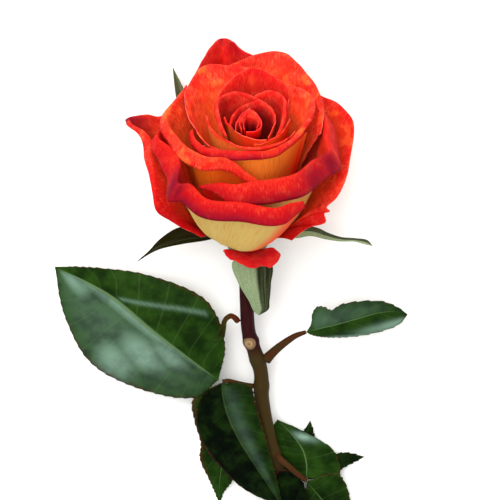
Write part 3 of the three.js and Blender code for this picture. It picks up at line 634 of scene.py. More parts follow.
def lying_points(places):
    """View grid places with a lift above the floor in mm, as points in the model's frame."""
    places = np.array(places, float)
    right = (places[:, 0] - SEAT_ACROSS) * GRID
    up = (SEAT_DOWN - places[:, 1]) * GRID
    lift = places[:, 2] * MM
    along = (up + (lift - HIP_LIFT) * math.sin(SIGHT_LEAN)) / math.cos(SIGHT_LEAN)
    return np.column_stack([right, along, lift]) + ORIGIN_SHIFT


def read_points(piece):
    """The piece's vertices as rows of x, y and z."""
    points = np.empty(len(piece.data.vertices) * 3)
    piece.data.vertices.foreach_get("co", points)
    return points.reshape(-1, 3)


def move_points(piece, points):
    """Puts the piece's vertices at the given rows of x, y and z."""
    piece.data.vertices.foreach_set("co", np.ascontiguousarray(points, float).ravel())
    piece.data.update()


def add_grid(name, columns, rows):
    """A flat grid object and its points' places 0 to 1 across and along."""
    bpy.ops.object.select_all(action="DESELECT")
    bpy.ops.mesh.primitive_grid_add(x_subdivisions=columns, y_subdivisions=rows, size=1)
    piece = bpy.context.object
    piece.name = piece.data.name = "rose_" + name
    flat = read_points(piece)
    return piece, flat[:, 0] + 0.5, flat[:, 1] + 0.5


def add_tube(name, centres, radius, sides):
    """A closed tube round the centres, and its points' places 0 to 1 along it."""
    rings = len(centres)
    bpy.ops.object.select_all(action="DESELECT")
    bpy.ops.mesh.primitive_uv_sphere_add(segments=sides, ring_count=rings + 1, radius=1)
    piece = bpy.context.object
    piece.name = piece.data.name = "rose_" + name
    ball = read_points(piece)
    polar = np.arccos(np.clip(ball[:, 2], -1, 1)) / math.pi * (rings + 1)
    ring = np.clip(np.round(polar).astype(int) - 1, 0, rings - 1)
    at_pole = np.hypot(ball[:, 0], ball[:, 1]) < POLE_REACH
    turn = np.arctan2(ball[:, 1], ball[:, 0])[:, None]
    tangent = np.gradient(centres, axis=0)
    tangent /= np.linalg.norm(tangent, axis=1, keepdims=True)
    side = np.cross(tangent, UP)
    side /= np.linalg.norm(side, axis=1, keepdims=True)
    top = np.cross(side, tangent)
    spread = side[ring] * np.cos(turn) + top[ring] * np.sin(turn)
    move_points(piece, centres[ring] + spread * np.where(at_pole, 0, radius[ring])[:, None])
    return piece, ring / (rings - 1)


def turn_faces(turn):
    """Runs an edit mode operator on all faces of the active piece."""
    bpy.ops.object.mode_set(mode="EDIT")
    bpy.ops.mesh.select_all(action="SELECT")
    turn()
    bpy.ops.object.mode_set(mode="OBJECT")


def face_toward(piece, toward):
    """Turns the sheet over if it looks away from where toward, given face middles, points."""
    middles = np.array([face.center for face in piece.data.polygons])
    normals = np.array([face.normal * face.area for face in piece.data.polygons])
    if np.sum(normals * toward(middles)) < 0:
        turn_faces(bpy.ops.mesh.flip_normals)


def add_materials(piece, materials):
    """Gives the piece its materials, one slot each."""
    for material in materials:
        piece.data.materials.append(material)


def give_thickness(piece, thickness):
    """Makes the sheet a closed shell with its own material on the front, the back and the rim."""
    shell = piece.modifiers.new("thickness", "SOLIDIFY")
    shell.thickness = thickness
    shell.offset = 0
    shell.material_offset = 1
    shell.material_offset_rim = 2
    bpy.ops.object.modifier_apply(modifier=shell.name)


def paint(piece, name, values):
    """Stores one number per vertex under a name that materials can read."""
    layer = piece.data.attributes.new(name, "FLOAT", "POINT")
    layer.data.foreach_set("value", np.asarray(values, np.float32))


def stand_in(piece, node):
    """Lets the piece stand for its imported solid."""
    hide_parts(node)
    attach(piece, "root")


def along_rim(value, across):
    """A petal's number, or its list of numbers along the rim, at each place across it."""
    if np.ndim(value) == 0:
        return np.full(len(across), float(value))
    return smooth_through([[number] for number in value], across)[:, 0]


def petal_surface(petal, across, along):
    """Points of a petal on the bloom's own axes, at places 0 to 1 across and along it."""
    rim = smooth_through(bloom_points(petal["rim"]), across)
    roll = np.maximum(along_rim(petal.get("roll", 0), across), 0) * MM
    fold = np.radians(along_rim(petal.get("fold", PLAIN_FOLD), across))
    start = math.radians(petal["start"])
    end = np.radians(along_rim(petal["end"], across))
    rim_reach = np.hypot(rim[:, 0], rim[:, 1])
    reach = rim_reach - roll * np.cos(fold)
    top = rim[:, 2] + roll * np.sin(fold)
    middle = smooth_through(bloom_points(petal["rim"]), [0.5])[0]
    facing = math.atan2(middle[1], middle[0])
    turn = np.arctan2(rim[:, 1], rim[:, 0]) - facing
    turn = np.arctan2(np.sin(turn), np.cos(turn))
    base = petal["base"] * MM
    chord = np.hypot(reach - base, top)
    roll_share = ROLL_LENGTH * roll / (ROLL_LENGTH * roll + chord)
    share = np.minimum(along / (1 - roll_share), 1)
    radius = cubic(base, reach, math.cos(start) * chord, np.cos(end) * chord, share)
    height = cubic(PETAL_GAP, top, math.sin(start) * chord, np.sin(end) * chord, share)
    over = np.clip((along - 1 + roll_share) / np.maximum(roll_share, TINY), 0, 1)
    drop = -fold - RIM_TUCK * (end + fold)
    pull = ROLL_PULL * roll
    lip_radius = cubic(reach, rim_reach, np.cos(end) * pull, np.cos(drop) * pull, over)
    lip_height = cubic(top, rim[:, 2], np.sin(end) * pull, np.sin(drop) * pull, over)
    radius = np.where(over > 0, lip_radius, radius)
    height = np.where(over > 0, lip_height, height)
    azimuth = facing + turn * (BASE_TURN + (1 - BASE_TURN) * np.sin(share * math.pi / 2))
    return np.column_stack([radius * np.cos(azimuth), radius * np.sin(azimuth), height])


def petal_ripple(order, across, along):
    """Waves that grow toward the rim and differ from petal to petal, the finest near the rim only."""
    waves = [
        height * np.sin(2 * math.pi * (count * across + lean * along + step * order))
        for count, lean, step, height in WAVES
    ]
    waves[-1] *= ease(along, FINE_WAVE_START, 1)
    return sum(waves) * along**RIPPLE_GROWTH


def spots(places, across, along):
    """Soft spots [across, along, width, length, strength] as one number per point."""
    total = np.zeros(len(across))
    for place, reach, width, length, strength in places:
        distance = ((across - place) / width) ** 2 + ((along - reach) / length) ** 2
        total = np.maximum(total, strength * np.exp(-distance))
    return total


def one_sided(places, across, along):
    """Soft spots that end at the midrib, so that each stays on its own side of a blade."""
    total = np.zeros(len(across))
    for place in places:
        own_side = (across - 0.5) * (place[0] - 0.5) >= 0
        total = np.maximum(total, own_side * spots([place], across, along))
    return total


def glare_lines(lines, across, along):
    """Soft lines of painted highlight [across, along, to across, to along, width, strength] as one number
    per point.
    """
    total = np.zeros(len(across))
    for line in lines:
        start = np.array(line[:2])
        course = np.array(line[2:4]) - start
        width, strength = line[4:]
        offset = np.column_stack([across, along]) - start
        share = np.clip(offset @ course / (course @ course), 0, 1)
        distance = np.linalg.norm(offset - share[:, None] * course, axis=1)
        total = np.maximum(total, strength * np.exp(-((distance / width) ** 2)))
    return total


def by_side(pair, across):
    """The first number on a blade's left side and the second on its right."""
    left, right = pair
    return left + (right - left) * ease(across, *RIB_BORDER)


def make_petal(order, name, settings, materials):
    """One petal: a grid shaped to its surface, painted and closed into a thin shell."""
    petal = PETALS[name]
    piece, across, along = add_grid(name, *PETAL_GRID)
    points = petal_surface(petal, across, along)
    outward = points[:, :2] / np.maximum(np.linalg.norm(points[:, :2], axis=1, keepdims=True), TINY)
    ripple = settings.ripple * (INNER_RIPPLE + (1 - INNER_RIPPLE) * order / len(PETALS))
    points[:, :2] += outward * (ripple * petal_ripple(order, across, along))[:, None]
    move_points(piece, lay_bloom(points))
    heart = lay_bloom(HEART_HEIGHT * UP[None])[0]
    face_toward(piece, lambda middles: heart - middles)
    paint(piece, "blush", spots(petal.get("blushes", []), across, along))
    paint(piece, "flush", spots(petal.get("flushes", []), across, along))
    for number in ("glow", "pale", "crimson_shade", "deep"):
        paint(piece, number, along_rim(petal.get(number, 0), across))
    add_materials(piece, materials)
    give_thickness(piece, settings.thickness)
    bpy.ops.object.shade_smooth()
    stand_in(piece, name)


def blade_lines(outline, to_points, places):
    """The left edge, midrib and right edge of a blade at places 0 to 1 along it."""
    return [
        smooth_through(to_points([outline["base"], *outline[side], outline["tip"]]), places)
        for side in ("left", "rib", "right")
    ]


def tooth_shape(across, along, count):
    """Saw teeth along a blade's margin, 0 in the notch and 1 at the tip, none near the blade's ends."""
    phase = along * count
    fade = ease(np.sin(along * math.pi), *TOOTH_FADE)
    return (phase - np.floor(phase)) ** TOOTH_BEND * fade * ease(np.abs(2 * across - 1), TOOTH_REACH, 1)


def pucker_shape(across, along, count):
    """The upper face's relief: raised along the side veins and creased along the midrib."""
    reach = np.abs(2 * across - 1)
    phase = (along - VEIN_SWEEP * reach**VEIN_BEND) * count + VEIN_SHIFT * (across > 0.5)
    away = 1 - np.abs(2 * (phase - np.floor(phase)) - 1)
    swell = (1 - away**4) * reach * (1 - reach) * 4
    crease = np.exp(-((reach / CREASE_REACH) ** 2))
    return (swell - crease) * np.sin(along * math.pi)


def make_blade(name, outline, to_points, settings, materials, toothed):
    """One leaf or sepal: a grid shaped between its edges and midrib, with teeth and veins."""
    piece, across, along = add_grid(name, *BLADE_GRID)
    left, rib, right = blade_lines(outline, to_points, along)
    outward = np.where((across < 0.5)[:, None], left, right) - rib
    width = np.linalg.norm(outward, axis=1, keepdims=True)
    points = rib + outward * np.abs(2 * across - 1)[:, None]
    middle = blade_lines(outline, to_points, np.linspace(0, 1, 50))[1]
    length = float(np.sum(np.linalg.norm(np.diff(middle, axis=0), axis=1)))
    if toothed:
        teeth = tooth_shape(across, along, round(length / settings.tooth))
        points += outward / np.maximum(width, TINY) * (settings.tooth_depth * teeth)[:, None]
    move_points(piece, points)
    face_toward(piece, lambda middles: UP)
    veins = max(FEWEST_VEINS, round(length / VEIN_SPACING))
    relief = settings.pucker * pucker_shape(across, along, veins)
    points += UP * relief[:, None] * np.minimum(1, width / FULL_SWELL_WIDTH)
    move_points(piece, points)
    # Painted reflection: spots and lines of glare, fading in where the blade is narrow.
    painted_glare = np.maximum(
        one_sided(outline.get("painted_glares", []), across, along), glare_lines(outline.get("glare_lines", []), across, along)
    )
    paint(piece, "painted_glare", painted_glare * ease(width[:, 0], 0, FULL_GLARE_WIDTH))
    paint(piece, "rust", spots(outline.get("rusts", []), across, along))
    paint(piece, "veins", np.full(len(across), veins))
    # Shares by side: painted shade on leaves, and on sepals their tone, partly their own colour and partly
    # painted shade.
    for number in ("shade", "tone_and_shade"):
        paint(piece, number, by_side(outline.get(number + "s", [0, 0]), across))
    add_materials(piece, materials)
    give_thickness(piece, settings.thickness)
    bpy.ops.object.shade_smooth()
    stand_in(piece, name)


def make_stem(settings, materials):
    """The stem with the hip at its top, the leaf scar, swollen leaf joints and a slanting cut end."""
    hip = lay_bloom(np.array([[0, 0, 0], [0, 0, -HIP_DEPTH]]))
    path = np.vstack([hip, lying_points(STEM_PATH), STEM_END])
    centres = smooth_through(path, np.linspace(0, 1, STEM_RINGS) ** STEM_CROWDING)
    from_seat = np.concatenate([[0], np.cumsum(np.linalg.norm(np.diff(centres, axis=0), axis=1))])
    radius = settings.radius * (NECK_SHARE + (1 - NECK_SHARE) * np.minimum(1, from_seat / NECK_LENGTH))
    fullness = np.cos(math.pi / 2 * np.clip(from_seat / HIP_DEPTH, 0, 1)) ** HIP_BEND
    radius += (HIP_RADIUS - radius) * fullness
    swellings = [[SCAR, *SCAR_SWELL]] + [[stalk["path"][0], *JOINT_SWELL] for stalk in STALKS.values()]
    for place, height, length in swellings:
        middle = lying_points([place])[0]
        radius += height * np.exp(-(((centres[:, 1] - middle[1]) / length) ** 2))
    piece, place = add_tube("stem", centres, radius, STEM_SIDES)
    points = read_points(piece)
    ring_places = np.linspace(0, 1, STEM_RINGS)
    to_end = from_seat[-1] - np.interp(place, ring_places, from_seat)
    slant = CUT_SLANT * np.clip(1 - to_end / CUT_LENGTH, 0, 1)
    points[:, 1] += slant * (points[:, 0] - np.interp(place, ring_places, centres[:, 0]))
    move_points(piece, points)
    turn_faces(bpy.ops.mesh.normals_make_consistent)
    add_materials(piece, materials)
    for face in piece.data.polygons:
        face.material_index = int(all(place[k] == 1 for k in face.vertices))
    bpy.ops.object.shade_smooth_by_angle(angle=CUT_EDGE_ANGLE)
    stand_in(piece, "stem")


def make_stalk(name, materials):
    """One leaf stalk, thicker where it leaves the stem."""
    stalk = STALKS[name]
    share = np.linspace(0, 1, STALK_RINGS)
    low, high = stalk["radii"]
    radius = (low + (high - low) * share**2) * MM * (1 + STALK_SWELL * np.exp(-STALK_SWELL_FADE * share))
    piece = add_tube(name, smooth_through(lying_points(stalk["path"]), share), radius, STALK_SIDES)[0]
    turn_faces(bpy.ops.mesh.normals_make_consistent)
    add_materials(piece, materials)
    bpy.ops.object.shade_smooth()
    stand_in(piece, name)


def add_node(tree, kind, inputs=(), output=0, **settings):
    """Adds a node with its settings, sets or links its inputs and gives one of its output sockets.

    Inputs are listed in the node's own order, or held in a dictionary by name or number.
    """
    node = tree.nodes.new("ShaderNode" + kind)
    for name, value in settings.items():
        setattr(node, name, value)
    pairs = inputs.items() if isinstance(inputs, dict) else enumerate(inputs)
    for socket, value in pairs:
        if isinstance(value, bpy.types.NodeSocket):
            tree.links.new(value, node.inputs[socket])
        else:
            node.inputs[socket].default_value = value
    return node.outputs[output] if node.outputs else None


def start_material(name):
    """An empty node material and its node tree."""
    material = bpy.data.materials.new(name)
    material.use_nodes = True
    material.node_tree.nodes.clear()
    return material, material.node_tree


def end_material(tree, colour, relief, skin):
    """Ends a material with its shader.

    The relief is a height socket, how strongly it shows and its depth. The skin holds the
    shader's other values.
    """
    height, strength, depth = relief
    bump = add_node(tree, "Bump", {"Height": height, "Strength": strength, "Distance": depth})
    shader = add_node(tree, "BsdfPrincipled", {"Base Color": colour, "Normal": bump, **skin})
    add_node(tree, "OutputMaterial", {"Surface": shader})


def sheet_sockets(tree, *names):
    """Sockets of a sheet's own map, of its coordinates and of the numbers painted by these names."""
    own = add_node(tree, "UVMap", uv_map="UVMap")
    whole = add_node(tree, "TexCoord", output="Object")
    numbers = [add_node(tree, "Attribute", output="Fac", attribute_name=name) for name in names]
    return own, whole, *numbers


def on_map(width, length, span):
    """A size on a sheet's own map, which runs 0 to 1 over the span's width and length."""
    return (width / span[0], length / span[1], 1)


def patches(tree, place, size, detail=3):
    """Soft noise over a place socket, in patches of one size or of a size along each axis."""
    scale = tuple(1 / np.broadcast_to(size, 3))
    scaled = add_node(tree, "Mapping", {"Vector": place, "Scale": scale})
    return add_node(
        tree, "TexNoise", {"Vector": scaled, "Scale": 1, "Detail": detail, "Roughness": PATCH_ROUGHNESS}
    )


def share_of(tree, *factors):
    """The product of factors, each a socket, a number or a smooth range.

    A range is (socket, low, high), which gives 0 to 1, or (socket, low, high, to low, to high).
    """
    product = None
    for factor in factors:
        if isinstance(factor, tuple):
            factor = add_node(tree, "MapRange", factor, interpolation_type="SMOOTHSTEP")
        if product is None:
            product = factor
        else:
            product = add_node(tree, "Math", [product, factor], operation="MULTIPLY")
    return product


def lay_colours(tree, ground, *layers):
    """A ground colour with layers over it, each a colour and the factors of its share."""
    colour = (*ground, 1)
    for over, *factors in layers:
        inputs = {0: share_of(tree, *factors), 6: colour, 7: (*over, 1)}
        colour = add_node(tree, "Mix", inputs, 2, data_type="RGBA")
    return colour


def petal_inside(settings):
    """Velvety inner face: mottled red with fine fibres and lighter flecks, partly painted highlight, orange
    near the base, purple tips and deep crimson low in the heart, partly painted shade.

    The fibres are drawn wider than real ones, so that they show.
    """
    material, tree = start_material("rose petal, velvety inner face")
    own, whole, glow, deep, crimson_shade, blush = sheet_sockets(tree, "glow", "deep", "crimson_shade", "blush")
    along = add_node(tree, "SeparateXYZ", [own], "Y")
    mottle = patches(tree, whole, 6 * MM)
    flecks = patches(tree, whole, 3.5 * MM, 2)
    fibres = patches(tree, own, on_map(0.3 * MM, 2 * MM, PETAL_SPAN), 4)
    low = share_of(tree, (along, 1.05, 0.4))
    patchy = share_of(tree, (mottle, 0.5, 0.68, 0, 0.5))
    warm = add_node(tree, "Math", [low, patchy], operation="MAXIMUM")
    colour = lay_colours(
        tree,
        settings.deep,
        (settings.red, (mottle, 0.3, 0.65)),
        # Lighter fibres and flecks: partly the petal's own mottling and partly painted highlight.
        (settings.bright, (fibres, 0.3, 0.8), (flecks, 0.35, 0.65, 0.2, 0.8)),
        (settings.deep, deep, (fibres, 0.75, 0.4, 0.65, 1)),
        (settings.glow, warm, glow, (fibres, 0.3, 0.6, 0.4, 1)),
        # Deep crimson low in the heart: partly its own colour and partly painted shade in the depth of the
        # bloom.
        (settings.crimson_shade, crimson_shade, (along, *CRIMSON_SHADE_RANGE)),
        (settings.blush, blush, (fibres, 0.35, 0.65, 0.65, 1)),
    )
    skin = {**PETAL_SKIN, "Roughness": 0.55, "Subsurface Radius": (1, 0.3, 0.12)}
    end_material(tree, colour, (fibres, 0.4, 0.08 * MM), skin)
    return material


def petal_outside(settings):
    """Matt outer face: tan yellow to orange with ochre streaks, redder low down, at rims and ends."""
    material, tree = start_material("rose petal, matt outer face")
    own, whole, pale, crimson_shade, flush = sheet_sockets(tree, "pale", "crimson_shade", "flush")
    along = add_node(tree, "SeparateXYZ", [own], "Y")
    mottle = patches(tree, whole, 5 * MM, 4)
    fibres = patches(tree, own, on_map(0.34 * MM, 6 * MM, PETAL_SPAN), 4)
    ruddy = add_node(tree, "Math", [1, pale], operation="SUBTRACT")
    high = share_of(tree, (along, 0.85, 1.05), (mottle, 0.2, 0.6, 0.5, 1))
    red = add_node(tree, "Math", [high, flush], operation="MAXIMUM")
    colour = lay_colours(
        tree,
        settings.amber,
        (settings.tan, pale),
        (settings.ochre, (fibres, 0.45, 0.75, 0, 0.6)),
        (settings.flame, ruddy, (along, 0.85, 0.4, 0, 0.5)),
        (settings.flame, red),
        # Deep crimson low in the heart: partly its own colour and partly painted shade in the depth of the
        # bloom.
        (settings.crimson_shade, crimson_shade, (along, *CRIMSON_SHADE_RANGE)),
    )
    skin = {**PETAL_SKIN, "Roughness": 0.6, "Subsurface Radius": (1, 0.5, 0.2)}
    end_material(tree, colour, (fibres, 0.4, 0.12 * MM), skin)
    return material


def petal_edge(settings):
    """The petal's thin edge: pale pink as a painted highlight along the rims, purple where it is bruised and
    plain red deep in the heart, where the painted highlight gives way to the heart's crimson and painted
    shade.
    """
    material, tree = start_material("rose petal, thin edge")
    whole = add_node(tree, "TexCoord", output="Object")
    blush = add_node(tree, "Attribute", output="Fac", attribute_name="blush")
    crimson_shade = add_node(tree, "Attribute", output="Fac", attribute_name="crimson_shade")
    mottle = patches(tree, whole, 4 * MM)
    bruise = add_node(tree, "Math", [blush, share_of(tree, (mottle, 0.45, 0.65))], operation="MAXIMUM")
    # The pale pink is a painted highlight on the thin edge; the purple bruises are the petal's own colour.
    colour = lay_colours(tree, settings.edge, (settings.blush, bruise), (settings.red, crimson_shade))
    end_material(tree, colour, (mottle, 0.2, 0.1 * MM), {"Roughness": 0.5, "IOR": PETAL_IOR})
    return material


def blade_veins(tree, own, count):
    """How strongly a vein shows, 0 to 1, and the reach 0 to 1 from a blade's midrib to its margin."""
    across = add_node(tree, "SeparateXYZ", [own], "X")
    along = across.node.outputs["Y"]
    centred = add_node(tree, "Math", [across, 0.5], operation="SUBTRACT")
    reach = share_of(tree, add_node(tree, "Math", [centred], operation="ABSOLUTE"), 2)
    bent = add_node(tree, "Math", [reach, VEIN_BEND], operation="POWER")
    back = add_node(tree, "Math", [along, share_of(tree, bent, VEIN_SWEEP)], operation="SUBTRACT")
    right = add_node(tree, "Math", [across, 0.5], operation="GREATER_THAN")
    shift = share_of(tree, right, VEIN_SHIFT)
    phase = add_node(tree, "Math", [share_of(tree, back, count), shift], operation="ADD")
    wave = add_node(tree, "Math", [phase, 0.5], operation="PINGPONG")
    side_vein = share_of(tree, (wave, 0.05, 0), 0.2)
    midrib = share_of(tree, (reach, 0.035, 0.012))
    return add_node(tree, "Math", [side_vein, midrib], operation="MAXIMUM"), reach


def leaf_upper(settings):
    """Waxy upper face of a rose leaf: deep green, glossy, with paler sunk veins, painted glare and painted
    shade.

    The pores that break up its gloss are drawn larger than real ones, so that they show.
    """
    material, tree = start_material("rose leaf, waxy upper face")
    own, whole, count, shade, painted_glare, rust = sheet_sockets(tree, "veins", "shade", "painted_glare", "rust")
    veins, reach = blade_veins(tree, own, count)
    mottle = patches(tree, whole, 7 * MM, 4)
    specks = patches(tree, whole, 1.2 * MM, 2)
    pores = patches(tree, whole, 0.9 * MM, 2)
    rim = share_of(tree, (reach, 0.93, 1), (specks, 0.45, 0.6, 0.1, 0.6))
    rusty = add_node(tree, "Math", [rim, rust], operation="MAXIMUM")
    colour = lay_colours(
        tree,
        settings.upper_dark,
        (settings.upper, (mottle, 0.3, 0.7)),
        (settings.vein, veins, 0.6),
        # Painted shade: near black green on leaves and leaf halves in shadow.
        (settings.shade, shade, (mottle, 0.7, 0.4, 0.7, 1)),
        # Painted reflection: pale glare of the lights in spots and lines, broken by mottle and veins.
        (settings.painted_glare, painted_glare, (mottle, 0.3, 0.6, 0.7, 1), (veins, 0, 1, 1, 0.5)),
        (settings.margin, rusty),
    )
    height = add_node(tree, "Math", [veins, -0.6, pores], operation="MULTIPLY_ADD")
    # The spots of painted glare are also glossier.
    gloss = share_of(tree, (painted_glare, 0, 0.8, 0.02, 0.2))
    wax = {"Roughness": 0.35, "IOR": LEAF_IOR, "Specular IOR Level": gloss}
    end_material(tree, colour, (height, 0.6, 0.2 * MM), wax)
    return material


def leaf_under(settings):
    """Matt under face of a rose leaf: grey green with raised veins."""
    material, tree = start_material("rose leaf, matt under face")
    own, whole, count = sheet_sockets(tree, "veins")
    veins = blade_veins(tree, own, count)[0]
    mottle = patches(tree, whole, 5 * MM, 4)
    colour = lay_colours(
        tree,
        settings.under,
        (settings.upper, (mottle, 0.3, 0.7, 0, 0.5)),
        (settings.down, veins, 0.4),
    )
    end_material(tree, colour, (veins, 0.6, 0.2 * MM), {"Roughness": 0.65, "IOR": LEAF_IOR})
    return material


def leaf_margin(settings):
    """The thin edge of a leaf: reddish brown, green in places."""
    material, tree = start_material("rose leaf, reddish margin")
    mottle = patches(tree, add_node(tree, "TexCoord", output="Object"), 3 * MM)
    colour = lay_colours(tree, settings.margin, (settings.upper, (mottle, 0.35, 0.65)))
    end_material(tree, colour, (mottle, 0.2, 0.1 * MM), {"Roughness": 0.5, "IOR": LEAF_IOR})
    return material


def sepal_skin(settings):
    """Downy skin of a sepal: grey green with darker streaks and a matt bloom of fine hairs, darker on a side
    in painted shade.

    The hairs are drawn coarser than real ones, so that they show.
    """
    material, tree = start_material("rose sepal, downy skin")
    own, whole, tone_and_shade = sheet_sockets(tree, "tone_and_shade")
    streaks = patches(tree, own, on_map(0.5 * MM, 15 * MM, SEPAL_SPAN))
    hairs = patches(tree, whole, 0.5 * MM, 2)
    streaky = share_of(tree, (streaks, 0.3, 0.7, -0.1, 0.1))
    # Paler where the tone share is high: partly the sepal's own down, with painted shade on the darker side.
    paler = add_node(tree, "Math", [streaky, tone_and_shade], operation="ADD", use_clamp=True)
    colour = lay_colours(
        tree,
        settings.sepal_dark,
        (settings.sepal, paler),
        (settings.down, paler, (hairs, 0.45, 0.7, 0, 0.5)),
    )
    down = {"Roughness": 0.8, "IOR": LEAF_IOR, "Specular IOR Level": 0.03}
    end_material(tree, colour, (hairs, 0.5, 0.12 * MM), down)
    return material


def stem_bark(settings):
    """Smooth young bark: green at the hip, maroon above the scar and olive brown below it."""
    material, tree = start_material("rose stem, smooth young bark")
    whole = add_node(tree, "TexCoord", output="Object")
    along = add_node(tree, "SeparateXYZ", [whole], "Y")
    fibres = patches(tree, whole, BARK_FIBRE)
    scar = lying_points([SCAR])[0]
    hip = lay_bloom(-HIP_DEPTH * UP[None])[0]
    offset = add_node(tree, "VectorMath", [whole, tuple(scar)], "Value", operation="DISTANCE")
    rings = add_node(tree, "Math", [offset, SCAR_RING], operation="PINGPONG")
    colour = lay_colours(
        tree,
        settings.olive,
        (settings.maroon, (along, scar[1] - 7 * MM, scar[1])),
        (settings.green, (along, hip[1] - 12 * MM, hip[1] + 4 * MM)),
        (settings.stalk, (fibres, 0.45, 0.8, 0, 0.5)),
        (settings.scar, (offset, 2.6 * MM, 1.8 * MM), (rings, 0, 0.3 * MM, 0.35, 1)),
    )
    end_material(tree, colour, (fibres, 0.5, 0.2 * MM), BARK_SKIN)
    return material


def stem_cut(settings):
    """The cut end: pale grainy pith in a ring of green wood."""
    material, tree = start_material("rose stem, cut end")
    whole = add_node(tree, "TexCoord", output="Object")
    grain = patches(tree, whole, 0.4 * MM, 2)
    offset = add_node(tree, "VectorMath", [whole, tuple(STEM_END)], "Value", operation="DISTANCE")
    colour = lay_colours(
        tree,
        settings.pith,
        (settings.green, (offset, 1.2 * MM, 2.4 * MM)),
        (settings.scar, (grain, 0.4, 0.8, 0, 0.4)),
    )
    end_material(tree, colour, (grain, 0.6, 0.1 * MM), {"Roughness": 0.8, "IOR": LEAF_IOR})
    return material


def stalk_bark(settings):
    """Smooth skin of a leaf stalk: red brown, olive in places."""
    material, tree = start_material("rose stalk, smooth skin")
    mottle = patches(tree, add_node(tree, "TexCoord", output="Object"), 2.5 * MM)
    colour = lay_colours(tree, settings.stalk, (settings.olive, (mottle, 0.4, 0.7)))
    end_material(tree, colour, (mottle, 0.3, 0.15 * MM), BARK_SKIN)
    return material


def floor_paint(settings):
    """Plain pale matt floor with the faintest unevenness."""
    material, tree = start_material("pale matt floor")
    mottle = patches(tree, add_node(tree, "TexCoord", output="Object"), 125 * MM)
    lighter = [min(1, channel * 1.02) for channel in settings.floor]
    colour = lay_colours(tree, settings.floor, (lighter, mottle))
    end_material(tree, colour, (mottle, 0.02, 0.1 * MM), {"Roughness": 0.9})
    return material


def add_floor(settings):
    """A large plain floor at the height of the surface."""
    bpy.ops.object.select_all(action="DESELECT")
    bpy.ops.mesh.primitive_plane_add(size=FLOOR_SIZE)
    floor = bpy.context.object
    floor.name = "floor"
    add_materials(floor, [floor_paint(settings)])


def add_light(name, place, size, power):
    """A square soft light that looks at the flower."""
    bpy.ops.object.light_add(type="AREA", location=place)
    light = bpy.context.object
    light.name = name
    light.data.size = size
    light.data.energy = power
    light.rotation_euler = (-light.location).to_track_quat("-Z", "Y").to_euler()


def add_lights(settings):
    """Soft light from all round, a large main light beyond the bloom and one high above the flower."""
    world = bpy.data.worlds.new("soft studio")
    world.use_nodes = True
    background = world.node_tree.nodes["Background"]
    background.inputs["Color"].default_value = (1, 1, 1, 1)
    background.inputs["Strength"].default_value = settings.sky_light
    bpy.context.scene.world = world
    add_light("main light", *MAIN_LIGHT, settings.main_light)
    add_light("upper light", *UPPER_LIGHT, settings.upper_light)
    bpy.context.scene.view_settings.view_transform = "Standard"


def add_camera(settings):
    """The camera on the sight line, framed so that the view grid fills the picture."""
    right = (GRID_MIDDLE - SEAT_ACROSS) * GRID
    up = (SEAT_DOWN - GRID_MIDDLE) * GRID
    target = np.array([right, up * math.cos(SIGHT_LEAN), HIP_LIFT - up * math.sin(SIGHT_LEAN)])
    back = np.array([0, math.sin(SIGHT_LEAN), math.cos(SIGHT_LEAN)])
    place = target + ORIGIN_SHIFT + back * settings.distance
    bpy.ops.object.camera_add(location=place, rotation=(-SIGHT_LEAN, 0, 0))
    camera = bpy.context.object
    camera.name = "camera"
    camera.data.lens = camera.data.sensor_width * settings.distance / (GRID * GRID_SIZE)
    camera.data.clip_end = CAMERA_FAR
    bpy.context.scene.camera = camera


class RosePartOperator(bpy.types.Operator):
    """Shared options of the operators that build one part."""

    bl_options = {"REGISTER", "UNDO"}


class ROSE_OT_stem(RosePartOperator):
    """Build the stem, its hip and its cut end"""

    bl_idname = "rose.stem"
    bl_label = "Stem"

    def execute(self, context):
        settings = context.scene.rose_stem
        make_stem(settings, [stem_bark(settings), stem_cut(settings)])
        return {"FINISHED"}


class ROSE_OT_petals(RosePartOperator):
    """Build the petals from the heart out"""

    bl_idname = "rose.petals"
    bl_label = "Petals"

    def execute(self, context):
        settings = context.scene.rose_petals
        materials = [petal_inside(settings), petal_outside(settings), petal_edge(settings)]
        for order, name in enumerate(PETALS):
            make_petal(order, name, settings, materials)
        return {"FINISHED"}


class ROSE_OT_sepals(RosePartOperator):
    """Build the five sepals below the bloom"""

    bl_idname = "rose.sepals"
    bl_label = "Sepals"

    def execute(self, context):
        settings = context.scene.rose_leaves
        skins = [sepal_skin(settings)] * 3
        for name, outline in SEPALS.items():
            make_blade(name, outline, laid_points, settings, skins, toothed=False)
        return {"FINISHED"}


class ROSE_OT_stalks(RosePartOperator):
    """Build the leaf stalks"""

    bl_idname = "rose.stalks"
    bl_label = "Leaf stalks"

    def execute(self, context):
        skin = stalk_bark(context.scene.rose_stem)
        for name in STALKS:
            make_stalk(name, [skin])
        return {"FINISHED"}


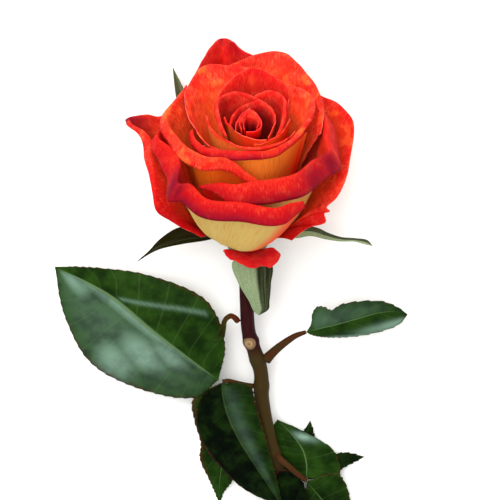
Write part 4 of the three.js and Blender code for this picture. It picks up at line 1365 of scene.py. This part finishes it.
class ROSE_OT_leaves(RosePartOperator):
    """Build the leaf blades"""

    bl_idname = "rose.leaves"
    bl_label = "Leaves"

    def execute(self, context):
        settings = context.scene.rose_leaves
        materials = [leaf_upper(settings), leaf_under(settings), leaf_margin(settings)]
        for name, outline in LEAVES.items():
            toothed = name != "bract"
            make_blade(name, outline, lying_points, settings, materials, toothed)
        return {"FINISHED"}


class ROSE_OT_stage(RosePartOperator):
    """Build the floor, the soft lights and the camera"""

    bl_idname = "rose.stage"
    bl_label = "Stage"

    def execute(self, context):
        settings = context.scene.rose_stage
        add_floor(settings)
        add_lights(settings)
        add_camera(settings)
        return {"FINISHED"}


class ROSE_PT_panel(bpy.types.Panel):
    """Lists the parts of the rose."""

    bl_label = "Cut Rose"
    bl_idname = "ROSE_PT_panel"
    bl_space_type = "VIEW_3D"
    bl_region_type = "UI"
    bl_category = "Rose"

    def draw(self, context):
        for operator in OPERATORS:
            self.layout.operator(operator.bl_idname)


SETTINGS = {
    "rose_petals": RosePetalSettings,
    "rose_leaves": RoseLeafSettings,
    "rose_stem": RoseStemSettings,
    "rose_stage": RoseStageSettings,
}
OPERATORS = [ROSE_OT_stem, ROSE_OT_petals, ROSE_OT_sepals, ROSE_OT_stalks, ROSE_OT_leaves, ROSE_OT_stage]


def register():
    """Registers the settings, the operators and the panel."""
    for name, group in SETTINGS.items():
        bpy.utils.register_class(group)
        setattr(bpy.types.Scene, name, bpy.props.PointerProperty(type=group))
    for part in [*OPERATORS, ROSE_PT_panel]:
        bpy.utils.register_class(part)


def unregister():
    """Takes out what register put in."""
    for part in [ROSE_PT_panel, *reversed(OPERATORS)]:
        bpy.utils.unregister_class(part)
    for name, group in SETTINGS.items():
        delattr(bpy.types.Scene, name)
        bpy.utils.unregister_class(group)


def main():
    """Builds the whole scene."""
    register()
    for operator in OPERATORS:
        group, name = operator.bl_idname.split(".")
        getattr(getattr(bpy.ops, group), name)()
    bpy.context.view_layer.update()


if __name__ == "__main__":
    main()
